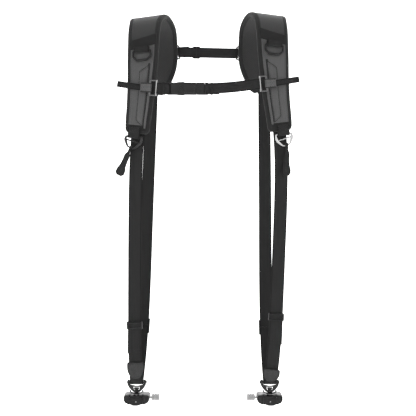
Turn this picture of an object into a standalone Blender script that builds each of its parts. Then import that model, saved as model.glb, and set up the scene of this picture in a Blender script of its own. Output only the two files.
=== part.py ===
"""Camera strap: a two-shoulder harness that carries two cameras.

World frame in metres: +X is the viewer's right, +Y is the wearer's back, +Z is up.
The origin is where the harness rests on the shoulders, midway between the two pads.
Each side is modelled with x measured outwards from the middle, then mirrored to its place.
"""
import math
from collections import namedtuple

import bmesh
import bpy
from mathutils import Matrix, Vector

MM = 0.001

# Fits
CLEARANCE = 0.3 * MM
JOIN_LAP = 1.0 * MM
PAD_SEAT = 0.4 * MM
SHARP_ANGLE = math.radians(35)

# Shoulder pads
PAD_THICKNESS = 9.0 * MM
PAD_EDGE_LOW = 2.2 * MM
PAD_EDGE_HIGH = 5.4 * MM
PAD_SHOULDER_DROP = 1.0 * MM
PAD_WIDTH = 66.5 * MM
PAD_HALF_DEPTH = 73.0 * MM
PAD_SPREAD = 110.5 * MM
FRONT_DROP = 221.0 * MM
REAR_DROP = 125.0 * MM
PAD_YAW = math.radians(11)
RIDGE_TILT = math.radians(4.7)
BINDING_WIDTH = 8.0 * MM
BINDING_ROUND = 2.5 * MM
PAD_STEPS = 2

# Trim on the front of the pad
POCKET_THICKNESS = 1.6 * MM
FLAP_THICKNESS = 1.6 * MM
POCKET_END_GAP = 15.0 * MM
FLAP_LENGTH = 108.0 * MM
BAND_HEIGHT = 17.8 * MM
BAND_THICKNESS = 1.4 * MM
BAND_SLOPE = 0.2
PATCH_EDGE = 1.2 * MM

# D-rings on the front of the pads
D_RING_WIRE = 3.2 * MM
D_RING_WIDTH = 36.0 * MM
D_RING_HEIGHT = 20.5 * MM
D_RING_BELOW_BAND = 8.0 * MM
D_RING_CORNER = 1.8 * MM
D_TAB_THICKNESS = 1.3 * MM
D_RING_SLOPE = math.radians(5)

# Webbing
WEBBING_THICKNESS = 1.6 * MM
MAIN_WEBBING = 25.0 * MM
CHEST_WEBBING = 19.2 * MM
NARROW_WEBBING = 11.0 * MM
THIN_WEBBING = 1.3 * MM
HAIRPIN_STEPS = 6

# Chest strap
CHEST_LOOP_WIRE = 2.4 * MM
CHEST_LOOP_WIDTH = 15.0 * MM
CHEST_LOOP_HEIGHT = 29.0 * MM
CORNER_ROUND = 2.2 * MM
CHEST_TAB_LENGTH = 17.0 * MM
CHEST_TAB_HEIGHT = 17.0 * MM
CHEST_LOOP_OFFSET = 25.7 * MM
ANCHOR_TAIL = 17.0 * MM
ANCHOR_SLOPE = 0.10
ANCHOR_GAP = 1.0 * MM
BUCKLE_CENTRE = -46.9 * MM
BUCKLE_FRONT = -97.0 * MM
BUCKLE_LENGTH = 52.4 * MM
BUCKLE_HEIGHT = 21.5 * MM
BUCKLE_THICKNESS = 9.0 * MM
BUCKLE_WALL = 1.1 * MM
BUCKLE_BEVEL = 1.0 * MM
BUCKLE_WINDOW = 13.5 * MM
BUCKLE_BAR = 3.0 * MM
BUCKLE_BAR_THICKNESS = 3.4 * MM
BUCKLE_SLOT = 3.4 * MM
BUCKLE_SAG = 1.6 * MM
PLUG_LENGTH = 20.7 * MM
PLUG_NECK_LENGTH = 3.0 * MM
PLUG_ARM_WIDTH = 2.6 * MM
PLUG_ARM_TAPER = 0.8 * MM
PLUG_PAD_SLOPE = 0.6 * MM
PLUG_FLANGE_INSET = 0.2 * MM
BUCKLE_WINDOW_SHIFT = 2.0 * MM
SHORT_LAP = 3.0 * MM
PLUG_FLANGE = 4.5 * MM
PLUG_PAD_PROUD = 1.3 * MM
CHEST_LAP = 22.0 * MM
CHEST_SAG = 1.5 * MM

# Back strap
BACK_STRAP_DROP = 53.6 * MM
BACK_WEBBING = 20.0 * MM
BACK_CLIP_WIDTH = 12.0 * MM
BACK_CLIP_HEIGHT = 28.5 * MM
BACK_CLIP_WIRE = 3.0 * MM
BACK_TAB_LENGTH = 34.0 * MM
BACK_LAP = 20.0 * MM
BACK_SHORT_LAP = 4.0 * MM
BACK_TAB_WIDTH = 18.0 * MM
BACK_SLIDER_X = -23.3 * MM

# Sliders and the runs of the main strap
STRAP_LEAD = 7.0 * MM
TAIL_EASE = 0.3 * MM
TAIL_SHIFT = 1.4 * MM
SWAY_SCALE = 6.75
TINY_SHARE = 0.01
SLIDER_STRAIGHT = 1.3
SLIDER_WALL = 1.7 * MM
SLIDER_STEP = 0.2 * MM
SLIDER_BAR = 2.6 * MM
SLIDER_LIP = 1.6 * MM
FRONT_SLIDER_HEIGHT = 13.0 * MM
REAR_SLIDER_HEIGHT = 28.0 * MM
BACK_SLIDER_HEIGHT = 14.0 * MM

# Ring and tether loop at the front end of the pad
PAD_RING_WIRE = 3.0 * MM
PAD_RING_WIDTH = 33.0 * MM
PAD_RING_HEIGHT = 24.0 * MM
PAD_RING_BELOW = 6.0 * MM
PAD_RING_DEPTH = 7.6 * MM
PAD_RING_OFFSET = 5.0 * MM
PAD_RING_TILT = math.radians(12)
RING_SHOULDER = 0.42
RING_FOOT = 0.45
RING_ROUND = 0.16
RING_BAR_WIRE = 2.7 * MM
RING_WEBBING = 23.0 * MM
RING_WEBBING_LAP = 11.0 * MM
LANYARD_LENGTH = 56.0 * MM
LANYARD_WIDTH = 10.5 * MM
LANYARD_EYE_WIDTH = 17.0 * MM
LANYARD_NECK = 4.8 * MM
LANYARD_SLACK = 0.9 * MM
LANYARD_THICKNESS = 1.8 * MM
EYE_LENGTH = 7.5 * MM
EYE_WIDTH = 2.8 * MM
EYE_SHARE = 0.8
LANYARD_BACK_LAP = 9.0 * MM
LANYARD_FRONT_LAP = 4.0 * MM
LanyardRow = namedtuple("LanyardRow", "along width")
LANYARD_ROWS = (
    LanyardRow(0.16, LANYARD_NECK),
    LanyardRow(0.26, LANYARD_WIDTH),
    LanyardRow(0.50, LANYARD_WIDTH),
    LanyardRow(0.66, 1.15 * LANYARD_WIDTH),
    LanyardRow(0.80, LANYARD_EYE_WIDTH),
    LanyardRow(0.93, LANYARD_EYE_WIDTH),
    LanyardRow(1.00, 0.55 * LANYARD_EYE_WIDTH),
)

# Link, yoke and clamp
PIN_HEIGHT = -697.6 * MM
PIN_RADIUS = 2.4 * MM
PIN_HEAD_RADIUS = 3.1 * MM
PIN_HEAD_LENGTH = 1.6 * MM
PIN_BEVEL = 0.4 * MM
PIN_TIP = 0.6 * MM
SHACKLE_WIRE = 4.2 * MM
SHACKLE_DROP = 17.6 * MM
EYE_OFFSET = 15.4 * MM
EYE_THICKNESS = 4.0 * MM
EYE_RADIUS = 4.4 * MM
LUG_WIDTH = 6.6 * MM
LUG_RADIUS = 3.9 * MM
TONGUE_HALF = 5.4 * MM
TONGUE_RISE = 7.4 * MM
YOKE_DEPTH = 6.0 * MM
YOKE_BASE_RADIUS = 7.2 * MM
YOKE_BASE_DROP = 4.0 * MM
YOKE_BASE_THICKNESS = 1.4 * MM
HORN_INNER = 10.8 * MM
HORN_WIDTH = 2.2 * MM
HORN_UNDERCUT = 2.6 * MM
HORN_ROOT = 1.6 * MM
YOKE_STEP = 0.3 * MM
HORN_RISE = 2.0 * MM
STEM_RADIUS = 2.8 * MM
STEM_LENGTH = 3.0 * MM
BOSS_RADIUS = 5.0 * MM
BOSS_HEIGHT = 1.9 * MM
PLATE_HALF = 12.0 * MM
PLATE_TOP_HALF = 9.8 * MM
PLATE_THICKNESS = 3.2 * MM
PLATE_EDGE = 1.0 * MM
PLATE_DEPTH = 30.0 * MM
CLAMP_DEPTH = 32.0 * MM
CLAMP_HALF_LENGTH = 25.0 * MM
CLAMP_FIXED_LENGTH = 23.3 * MM
CLAMP_BODY_HEIGHT = 12.0 * MM
JAW_RISE = 4.8 * MM
JAW_SPLIT = 12.8 * MM
LIP_GAP = 0.5 * MM
LIP_HEIGHT = 1.0 * MM
SHOULDER_WIDTH = 3.5 * MM
SHOULDER_DROP = 2.0 * MM
FLANK_DROP = 4.0 * MM
HEEL_INSET = 2.5 * MM
HEEL_DROP = 8.6 * MM
FOOT_INSET = 9.0 * MM
BASE_RADIUS = 9.0 * MM
BASE_HEIGHT = 4.3 * MM
BASE_SHIFT = 2.0 * MM
KNOB_DROP = 2.1 * MM
KNOB_RADIUS = 6.4 * MM
KNOB_LENGTH = 15.0 * MM
KNOB_GAP = 3.8 * MM
KNOB_BEVEL = 1.0 * MM
KNOB_GROOVE = 0.4 * MM
KNOB_TEETH = 12
SHAFT_RADIUS = 2.0 * MM
SHAFT_DEPTH = 8.0 * MM

# Leather tab over the end of the main strap
TAB_THICKNESS = 2.6 * MM
TAB_WIDTH = 32.0 * MM

WIRE_SIDES = 8

PadStation = namedtuple("PadStation", "reach drop spread width")
# reach is a share of PAD_HALF_DEPTH, drop of FRONT_DROP or REAR_DROP,
# spread of PAD_SPREAD and width of PAD_WIDTH
FRONT_STATIONS = (
    PadStation(-0.904, 1.000, 1.163, 0.677),
    PadStation(-0.945, 0.905, 1.149, 0.700),
    PadStation(-0.980, 0.747, 1.113, 0.744),
    PadStation(-1.000, 0.575, 1.086, 0.797),
    PadStation(-0.993, 0.407, 1.068, 0.857),
    PadStation(-0.945, 0.271, 1.059, 0.880),
    PadStation(-0.836, 0.163, 1.054, 0.902),
    PadStation(-0.630, 0.077, 1.041, 0.932),
    PadStation(-0.342, 0.025, 1.023, 1.020),
    PadStation(0.000, 0.000, 0.995, 1.090),
)
REAR_STATIONS = (
    PadStation(0.342, 0.040, 0.934, 1.100),
    PadStation(0.644, 0.120, 0.887, 1.080),
    PadStation(0.849, 0.256, 0.847, 0.970),
    PadStation(0.959, 0.416, 0.824, 0.902),
    PadStation(1.000, 0.600, 0.840, 0.860),
    PadStation(0.980, 0.800, 0.905, 0.780),
    PadStation(0.932, 1.000, 1.005, 0.680),
)
APEX = len(FRONT_STATIONS) - 1
LAST_STATION = len(FRONT_STATIONS) + len(REAR_STATIONS) - 1

BowPoint = namedtuple("BowPoint", "across down")
# shares of the eye offset and of the drop from the pin to the apex
SHACKLE_BOW = (
    BowPoint(1.00, 0.02),
    BowPoint(0.97, 0.25),
    BowPoint(0.80, 0.50),
    BowPoint(0.58, 0.73),
    BowPoint(0.39, 0.92),
    BowPoint(0.25, 1.00),
)

TabPoint = namedtuple("TabPoint", "across up")
# shares of half the tab's width and of its length
TAB_OUTLINE = (
    TabPoint(0.00, 0.00),
    TabPoint(0.40, 0.03),
    TabPoint(0.70, 0.20),
    TabPoint(0.92, 0.42),
    TabPoint(1.00, 0.62),
    TabPoint(0.98, 0.92),
    TabPoint(0.88, 1.00),
)

Side = namedtuple(
    "Side",
    "name sign lift flare band_drop flap_drop anchor_drop hang front_bow rear_bow rear_sway"
    " slider_share tail_share rear_slider_share tab_share tab_end_share lanyard_lean",
)
# lifts, flares, drops, bows, sways and the hang are lengths, the shares run from the pad to the pin
SIDES = (
    Side(
        "left", -1, -0.0249 * FRONT_DROP, 0.0, 0.2217 * FRONT_DROP, 0.448 * FRONT_DROP,
        0.6308 * FRONT_DROP, 1.2398 * PAD_SPREAD,
        0.172 * MAIN_WEBBING, -0.136 * MAIN_WEBBING, 0.108 * MAIN_WEBBING,
        0.758, 0.875, 0.809, 0.912, 0.985, math.radians(26),
    ),
    Side(
        "right", 1, -0.0045 * FRONT_DROP, 0.0226 * PAD_SPREAD, 0.1959 * FRONT_DROP, 0.4344 * FRONT_DROP,
        0.6163 * FRONT_DROP, 1.0724 * PAD_SPREAD,
        0.28 * MAIN_WEBBING, -0.128 * MAIN_WEBBING, 0.1 * MAIN_WEBBING,
        0.726, 0.838, 0.817, 0.942, 0.995, math.radians(0),
    ),
)

Finish = namedtuple("Finish", "color roughness metallic")
FINISHES = {
    "pad_mesh": Finish((0.024, 0.024, 0.025), 0.9, 0.0),
    "pocket_fabric": Finish((0.13, 0.13, 0.135), 0.85, 0.0),
    "band_fabric": Finish((0.035, 0.035, 0.037), 0.85, 0.0),
    "webbing": Finish((0.027, 0.027, 0.028), 0.8, 0.0),
    "grey_webbing": Finish((0.16, 0.16, 0.165), 0.8, 0.0),
    "leather": Finish((0.065, 0.065, 0.067), 0.6, 0.0),
    "black_plastic": Finish((0.018, 0.018, 0.019), 0.45, 0.0),
    "steel": Finish((0.42, 0.42, 0.43), 0.3, 1.0),
    "dark_steel": Finish((0.15, 0.15, 0.155), 0.35, 1.0),
    "black_aluminium": Finish((0.02, 0.02, 0.021), 0.4, 0.6),
    "silver_aluminium": Finish((0.5, 0.5, 0.51), 0.3, 1.0),
}


def material(name):
    """The material of that name, made at its first use."""
    found = bpy.data.materials.get(name)
    if found:
        return found
    made = bpy.data.materials.new(name)
    made.use_nodes = True
    finish = FINISHES[name]
    shader = made.node_tree.nodes["Principled BSDF"]
    shader.inputs["Base Color"].default_value = (*finish.color, 1.0)
    shader.inputs["Roughness"].default_value = finish.roughness
    shader.inputs["Metallic"].default_value = finish.metallic
    return made


def make_object(name, bm, material_name, side=None):
    """Link a closed mesh as an object, mirrored to its side, with its faces pointing out."""
    if side and side.sign < 0:
        bmesh.ops.scale(bm, vec=(-1, 1, 1), verts=bm.verts)
    bmesh.ops.recalc_face_normals(bm, faces=bm.faces)
    mesh = bpy.data.meshes.new(name)
    bm.to_mesh(mesh)
    bm.free()
    mesh.shade_smooth()
    mesh.set_sharp_from_angle(angle=SHARP_ANGLE)
    mesh.materials.append(material(material_name))
    obj = bpy.data.objects.new(name, mesh)
    bpy.context.scene.collection.objects.link(obj)
    return obj


def set_origin(obj, point):
    """Move an object's origin to a world point and leave its shape where it is."""
    obj.data.transform(Matrix.Translation(-point))
    obj.location = point


def combine(target, tool, operation):
    """Add a Boolean between two objects and hide the tool."""
    modifier = target.modifiers.new(operation.title(), "BOOLEAN")
    modifier.operation = operation
    modifier.solver = "EXACT"
    modifier.object = tool
    tool.hide_render = True
    tool.display_type = "WIRE"


def lerp(start, end, share):
    return start + (end - start) * share


def spline(values, position):
    """Catmull-Rom value at a position counted in rows of the list."""
    last = len(values) - 1
    index = min(max(int(position), 0), last - 1)
    share = position - index
    p1 = values[index]
    p2 = values[index + 1]
    p0 = values[index - 1] if index > 0 else p1 + (p1 - p2)
    p3 = values[index + 2] if index + 2 <= last else p2 + (p2 - p1)
    bend = (p0 * 2 - p1 * 5 + p2 * 4 - p3) * share**2
    twist = (p1 * 3 - p0 - p2 * 3 + p3) * share**3
    return (p1 * 2 + (p2 - p0) * share + bend + twist) * 0.5


def smooth_points(points, steps):
    """Points on a smooth curve through the given ones, with so many steps between each two."""
    count = (len(points) - 1) * steps
    return [spline(points, i / steps) for i in range(count + 1)]


def rounded_outline(corners, radius, steps):
    """A closed outline with each corner replaced by a curve that starts a radius away from it."""
    outline = []
    count = len(corners)
    for i, corner in enumerate(corners):
        before = (corners[i - 1] - corner).normalized() * radius
        after = (corners[(i + 1) % count] - corner).normalized() * radius
        for step in range(steps + 1):
            share = step / steps
            outline.append(corner + before * (1 - share) ** 2 + after * share**2)
    return outline


def loft(rings, closed=False):
    """Join rings of points into a closed skin, capped at both ends unless it runs round."""
    bm = bmesh.new()
    loops = [[bm.verts.new(point) for point in ring] for ring in rings]
    count = len(loops[0])
    pairs = list(zip(loops, loops[1:]))
    if closed:
        pairs.append((loops[-1], loops[0]))
    for near, far in pairs:
        for i in range(count):
            j = (i + 1) % count
            bm.faces.new((near[i], near[j], far[j], far[i]))
    if not closed:
        bm.faces.new(loops[0])
        bm.faces.new(loops[-1])
    return bm


def ribbon(points, across, thickness, widths):
    """Flat webbing along a path; across is its width direction, one for all or one a point."""
    rings = []
    last = len(points) - 1
    for i, point in enumerate(points):
        along = (points[min(i + 1, last)] - points[max(i - 1, 0)]).normalized()
        wide = across[i] if isinstance(across, list) else across
        wide = (wide - along * wide.dot(along)).normalized()
        width = widths[i] if isinstance(widths, list) else widths
        half_width = wide * (width / 2)
        half_thick = wide.cross(along) * (thickness / 2)
        rings.append([
            point - half_width - half_thick,
            point + half_width - half_thick,
            point + half_width + half_thick,
            point - half_width + half_thick,
        ])
    return loft(rings)


def hairpin(bar, radius, toward, face, first_lap, last_lap):
    """A path that runs up to a bar on the face side, round it, and back on the other side."""
    points = [bar - toward * first_lap + face * radius]
    for step in range(HAIRPIN_STEPS + 1):
        angle = math.pi / 2 - math.pi * step / HAIRPIN_STEPS
        points.append(bar + (toward * math.cos(angle) + face * math.sin(angle)) * radius)
    points.append(bar - toward * last_lap - face * radius)
    return points


def wire(points, normal, radius, closed, sides=WIRE_SIDES):
    """Round wire along a path that lies in the plane of the given normal."""
    rings = []
    count = len(points)
    for i, point in enumerate(points):
        before = points[i - 1] if closed or i > 0 else point
        after = points[(i + 1) % count] if closed or i < count - 1 else point
        inward = normal.cross((after - before).normalized())
        ring = []
        for k in range(sides):
            angle = 2 * math.pi * (k + 0.5) / sides
            ring.append(point + (inward * math.cos(angle) + normal * math.sin(angle)) * radius)
        rings.append(ring)
    return loft(rings, closed)


def turned(profile, origin, axis, sides):
    """A round solid; each row of the profile is a distance along the axis and a radius."""
    first = axis.orthogonal().normalized()
    second = axis.cross(first)
    rings = []
    for distance, radius in profile:
        ring = []
        for k in range(sides):
            angle = 2 * math.pi * k / sides
            spoke = first * math.cos(angle) + second * math.sin(angle)
            ring.append(origin + axis * distance + spoke * radius)
        rings.append(ring)
    return loft(rings)


def prism(outline, low, high):
    """Extrude an outline of points from the low offset to the high offset, both vectors."""
    return loft([[point + low for point in outline], [point + high for point in outline]])


def block(frame, low, high):
    """A box given by two corners in a frame's own axes (across, out, up)."""
    corners = [(low[0], low[2]), (high[0], low[2]), (high[0], high[2]), (low[0], high[2])]
    outline = [frame.at(x, 0, z) for x, z in corners]
    return prism(outline, frame.out * low[1], frame.out * high[1])


class Frame:
    """A point with three unit directions: across (outwards), out (away from the body), up."""

    def __init__(self, point, across, out, up):
        self.point = point
        self.across = across
        self.out = out
        self.up = up

    def at(self, across, out, up):
        return self.point + self.across * across + self.out * out + self.up * up

    def moved(self, across, out, up):
        return Frame(self.at(across, out, up), self.across, self.out, self.up)

    def rolled(self, angle):
        """Turned in its own plane, so that up leans towards across."""
        across = self.across * math.cos(angle) - self.up * math.sin(angle)
        up = self.up * math.cos(angle) + self.across * math.sin(angle)
        return Frame(self.point, across, self.out, up)


# The pad's own surface


def station_points(side):
    """Middle line of the pad's inner face, from the front end over the shoulder to the rear end."""
    points = []
    for rows, drop in ((FRONT_STATIONS, FRONT_DROP), (REAR_STATIONS, REAR_DROP)):
        for row in rows:
            flare = side.flare * row.drop**2 if row.reach < 0 else 0
            points.append(Vector((
                row.spread * PAD_SPREAD + flare,
                row.reach * PAD_HALF_DEPTH,
                side.lift - row.drop * drop,
            )))
    return points


def pad_width(position):
    shares = [row.width for row in FRONT_STATIONS + REAR_STATIONS]
    return spline(shares, position) * PAD_WIDTH


def pad_frame(side, position):
    """Frame on the pad's inner face; its up direction runs along the pad from front to rear."""
    points = station_points(side)
    step = 0.05
    low = max(position - step, 0)
    high = min(position + step, LAST_STATION)
    along = (spline(points, high) - spline(points, low)).normalized()
    across = Vector((math.cos(PAD_YAW), math.sin(PAD_YAW), -math.tan(RIDGE_TILT)))
    across = (across - along * across.dot(along)).normalized()
    return Frame(spline(points, position), across, across.cross(along), along)


def position_at(side, drop, rear=False):
    """Position along the pad whose middle line lies a given drop below its top."""
    points = station_points(side)
    low, high = (LAST_STATION, APEX) if rear else (0, APEX)
    for _ in range(30):
        middle = (low + high) / 2
        if side.lift - spline(points, middle).z > drop:
            low = middle
        else:
            high = middle
    return (low + high) / 2


def pad_section(width):
    """Outline of the pad across its width: (across, out) pairs."""
    half = width / 2
    top = PAD_THICKNESS
    right = [
        (half - BINDING_ROUND, 0),
        (half, PAD_EDGE_LOW),
        (half, PAD_EDGE_HIGH),
        (half - BINDING_ROUND, top - PAD_SHOULDER_DROP),
        (half - BINDING_WIDTH, top),
    ]
    left = [(-across, out) for across, out in reversed(right)]
    return right + left


def make_pad(side):
    rings = []
    for i in range(LAST_STATION * PAD_STEPS + 1):
        position = i / PAD_STEPS
        frame = pad_frame(side, position)
        section = pad_section(pad_width(position))
        rings.append([frame.at(across, out, 0) for across, out in section])
    make_object(f"{side.name}_pad", loft(rings), "pad_mesh", side)


def slab_on_pad(side, rows):
    """A thin closed sheet on the pad; each row lists (drop, across, thickness) over its width."""
    rings = []
    for row in rows:
        low = []
        high = []
        for drop, across, thickness in row:
            frame = pad_frame(side, position_at(side, drop))
            base = PAD_THICKNESS + PAD_SEAT
            low.append(frame.at(across, base, 0))
            high.append(frame.at(across, base + thickness, 0))
        rings.append(low + high[::-1])
    return loft(rings)


def band_bottom(side):
    return side.band_drop + BAND_HEIGHT


def make_band(side):
    rows = []
    for share in (0, 0.25, 0.5, 0.75, 1):
        drop = side.band_drop + BAND_HEIGHT * share
        half = pad_width(position_at(side, drop)) / 2
        inner = -(half - BINDING_WIDTH / 2)
        outer = half - BINDING_WIDTH
        middle = (inner + outer) / 2
        rows.append([
            (drop + BAND_SLOPE * across, across, BAND_THICKNESS)
            for across in (inner, middle, outer)
        ])
    make_object(f"{side.name}_band", slab_on_pad(side, rows), "band_fabric", side)


POCKET_ROWS = (0.0, 0.07, 0.14, 0.21, 0.25, 0.35, 0.5, 0.65, 0.8, 0.9, 0.95, 1.0)
FlapColumn = namedtuple("FlapColumn", "across raised")
# across is a share of half the pocket's width, positive outwards
POCKET_COLUMNS = (
    FlapColumn(-1.00, False),
    FlapColumn(-0.66, False),
    FlapColumn(-0.60, True),
    FlapColumn(-0.02, True),
    FlapColumn(0.04, False),
    FlapColumn(1.00, False),
)


def make_pocket(side):
    """Flat pocket with a raised flap along its zip."""
    top = band_bottom(side) + PAD_SEAT
    bottom = FRONT_DROP - POCKET_END_GAP
    rows = []
    for share in POCKET_ROWS:
        drop = lerp(top, bottom, share)
        half = pad_width(position_at(side, drop)) / 2 - BINDING_WIDTH
        in_flap = side.flap_drop < drop < side.flap_drop + FLAP_LENGTH
        row = []
        for column in POCKET_COLUMNS:
            across = column.across * half
            raised = FLAP_THICKNESS if column.raised and in_flap else 0
            edge = PATCH_EDGE if abs(column.across) == 1 else 0
            thickness = POCKET_THICKNESS + raised - edge / 2
            row.append((drop + BAND_SLOPE * across * (1 - share), across, thickness))
        rows.append(row)
    make_object(f"{side.name}_pocket", slab_on_pad(side, rows), "pocket_fabric", side)


# The D-ring and its tab


def d_ring_frame(side):
    """Frame at the middle of the ring's straight bar."""
    drop = band_bottom(side) + D_RING_BELOW_BAND
    frame = pad_frame(side, position_at(side, drop))
    surface = PAD_THICKNESS + PAD_SEAT + POCKET_THICKNESS
    out = surface + CLEARANCE + D_TAB_THICKNESS + CLEARANCE + D_RING_WIRE / 2
    return frame.moved(0, out, 0).rolled(D_RING_SLOPE)


def make_d_ring(side):
    frame = d_ring_frame(side)
    half = (D_RING_WIDTH - D_RING_WIRE) / 2
    depth = D_RING_HEIGHT - D_RING_WIRE
    corners = [
        frame.at(-half, 0, 0),
        frame.at(half, 0, 0),
        frame.at(half, 0, -0.62 * depth),
        frame.at(0.55 * half, 0, -depth),
        frame.at(-0.55 * half, 0, -depth),
        frame.at(-half, 0, -0.62 * depth),
    ]
    outline = rounded_outline(corners, D_RING_CORNER, 2)
    ring = make_object(f"{side.name}_d_ring", wire(outline, frame.out, D_RING_WIRE / 2, True), "black_plastic", side)
    set_origin(ring, mirrored(side, frame.point))
    tab_path = hairpin(
        frame.point, D_RING_WIRE / 2 + CLEARANCE + D_TAB_THICKNESS / 2,
        -frame.up, frame.out, D_RING_BELOW_BAND - CLEARANCE, D_RING_BELOW_BAND - CLEARANCE,
    )
    tab_width = D_RING_WIDTH - D_RING_WIRE - 2 * D_RING_CORNER - 2 * CLEARANCE
    tab = ribbon(tab_path, frame.across, D_TAB_THICKNESS, tab_width)
    make_object(f"{side.name}_d_tab", tab, "webbing", side)


def mirrored(side, vector):
    return Vector((side.sign * vector.x, vector.y, vector.z))


# Chest strap


def chest_frame(side):
    """Frame at the middle of the wire loop beside the pad."""
    frame = pad_frame(side, position_at(side, side.anchor_drop))
    surface = PAD_THICKNESS + PAD_SEAT + POCKET_THICKNESS + FLAP_THICKNESS
    out = surface + CLEARANCE + THIN_WEBBING + CLEARANCE + CHEST_LOOP_WIRE / 2
    return frame.moved(-CHEST_LOOP_OFFSET, out, 0)


def chest_bar(side, end):
    """Middle of one upright bar of the wire loop: end is 1 for the pad's side, -1 for the middle."""
    frame = chest_frame(side)
    return frame.at(end * (CHEST_LOOP_WIDTH - CHEST_LOOP_WIRE) / 2, 0, 0)


def make_chest_anchor(side):
    """Wire loop, its grey folded tab and the narrow ribbed strap with a free tail."""
    frame = chest_frame(side)
    half_width = (CHEST_LOOP_WIDTH - CHEST_LOOP_WIRE) / 2
    half_height = (CHEST_LOOP_HEIGHT - CHEST_LOOP_WIRE) / 2
    corners = [
        frame.at(-half_width, 0, -half_height),
        frame.at(half_width, 0, -half_height),
        frame.at(half_width, 0, half_height),
        frame.at(-half_width, 0, half_height),
    ]
    outline = rounded_outline(corners, CORNER_ROUND, 3)
    loop = wire(outline, frame.out, CHEST_LOOP_WIRE / 2, True)
    make_object(f"{side.name}_chest_loop", loop, "steel", side)
    radius = CHEST_LOOP_WIRE / 2 + CLEARANCE + THIN_WEBBING / 2
    bar = chest_bar(side, 1)
    tab_path = hairpin(bar, radius, -frame.across, frame.out, CHEST_TAB_LENGTH, CHEST_TAB_LENGTH)
    tab = ribbon(tab_path, frame.up, THIN_WEBBING, CHEST_TAB_HEIGHT)
    make_object(f"{side.name}_chest_tab", tab, "grey_webbing", side)
    start = bar + frame.across * (CHEST_TAB_LENGTH + ANCHOR_GAP) - frame.out * radius
    half_pad = pad_width(position_at(side, side.anchor_drop)) / 2
    on_pad = half_pad + CHEST_LOOP_OFFSET - (start - frame.point).dot(frame.across)
    along = frame.across + frame.up * ANCHOR_SLOPE
    path = [start + along * on_pad * share for share in (0, 0.5, 1)]
    path.append(start + along * (on_pad + ANCHOR_TAIL))
    strap = ribbon(path, frame.up, THIN_WEBBING, NARROW_WEBBING)
    make_object(f"{side.name}_chest_anchor", strap, "webbing", side)


def buckle_frame():
    """Frame at the middle of the chest buckle, across to the viewer's right."""
    left = mirrored(SIDES[0], chest_bar(SIDES[0], -1))
    point = Vector((BUCKLE_CENTRE, BUCKLE_FRONT, left.z - BUCKLE_SAG))
    return Frame(point, Vector((1, 0, 0)), Vector((0, -1, 0)), Vector((0, 0, 1)))


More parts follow.
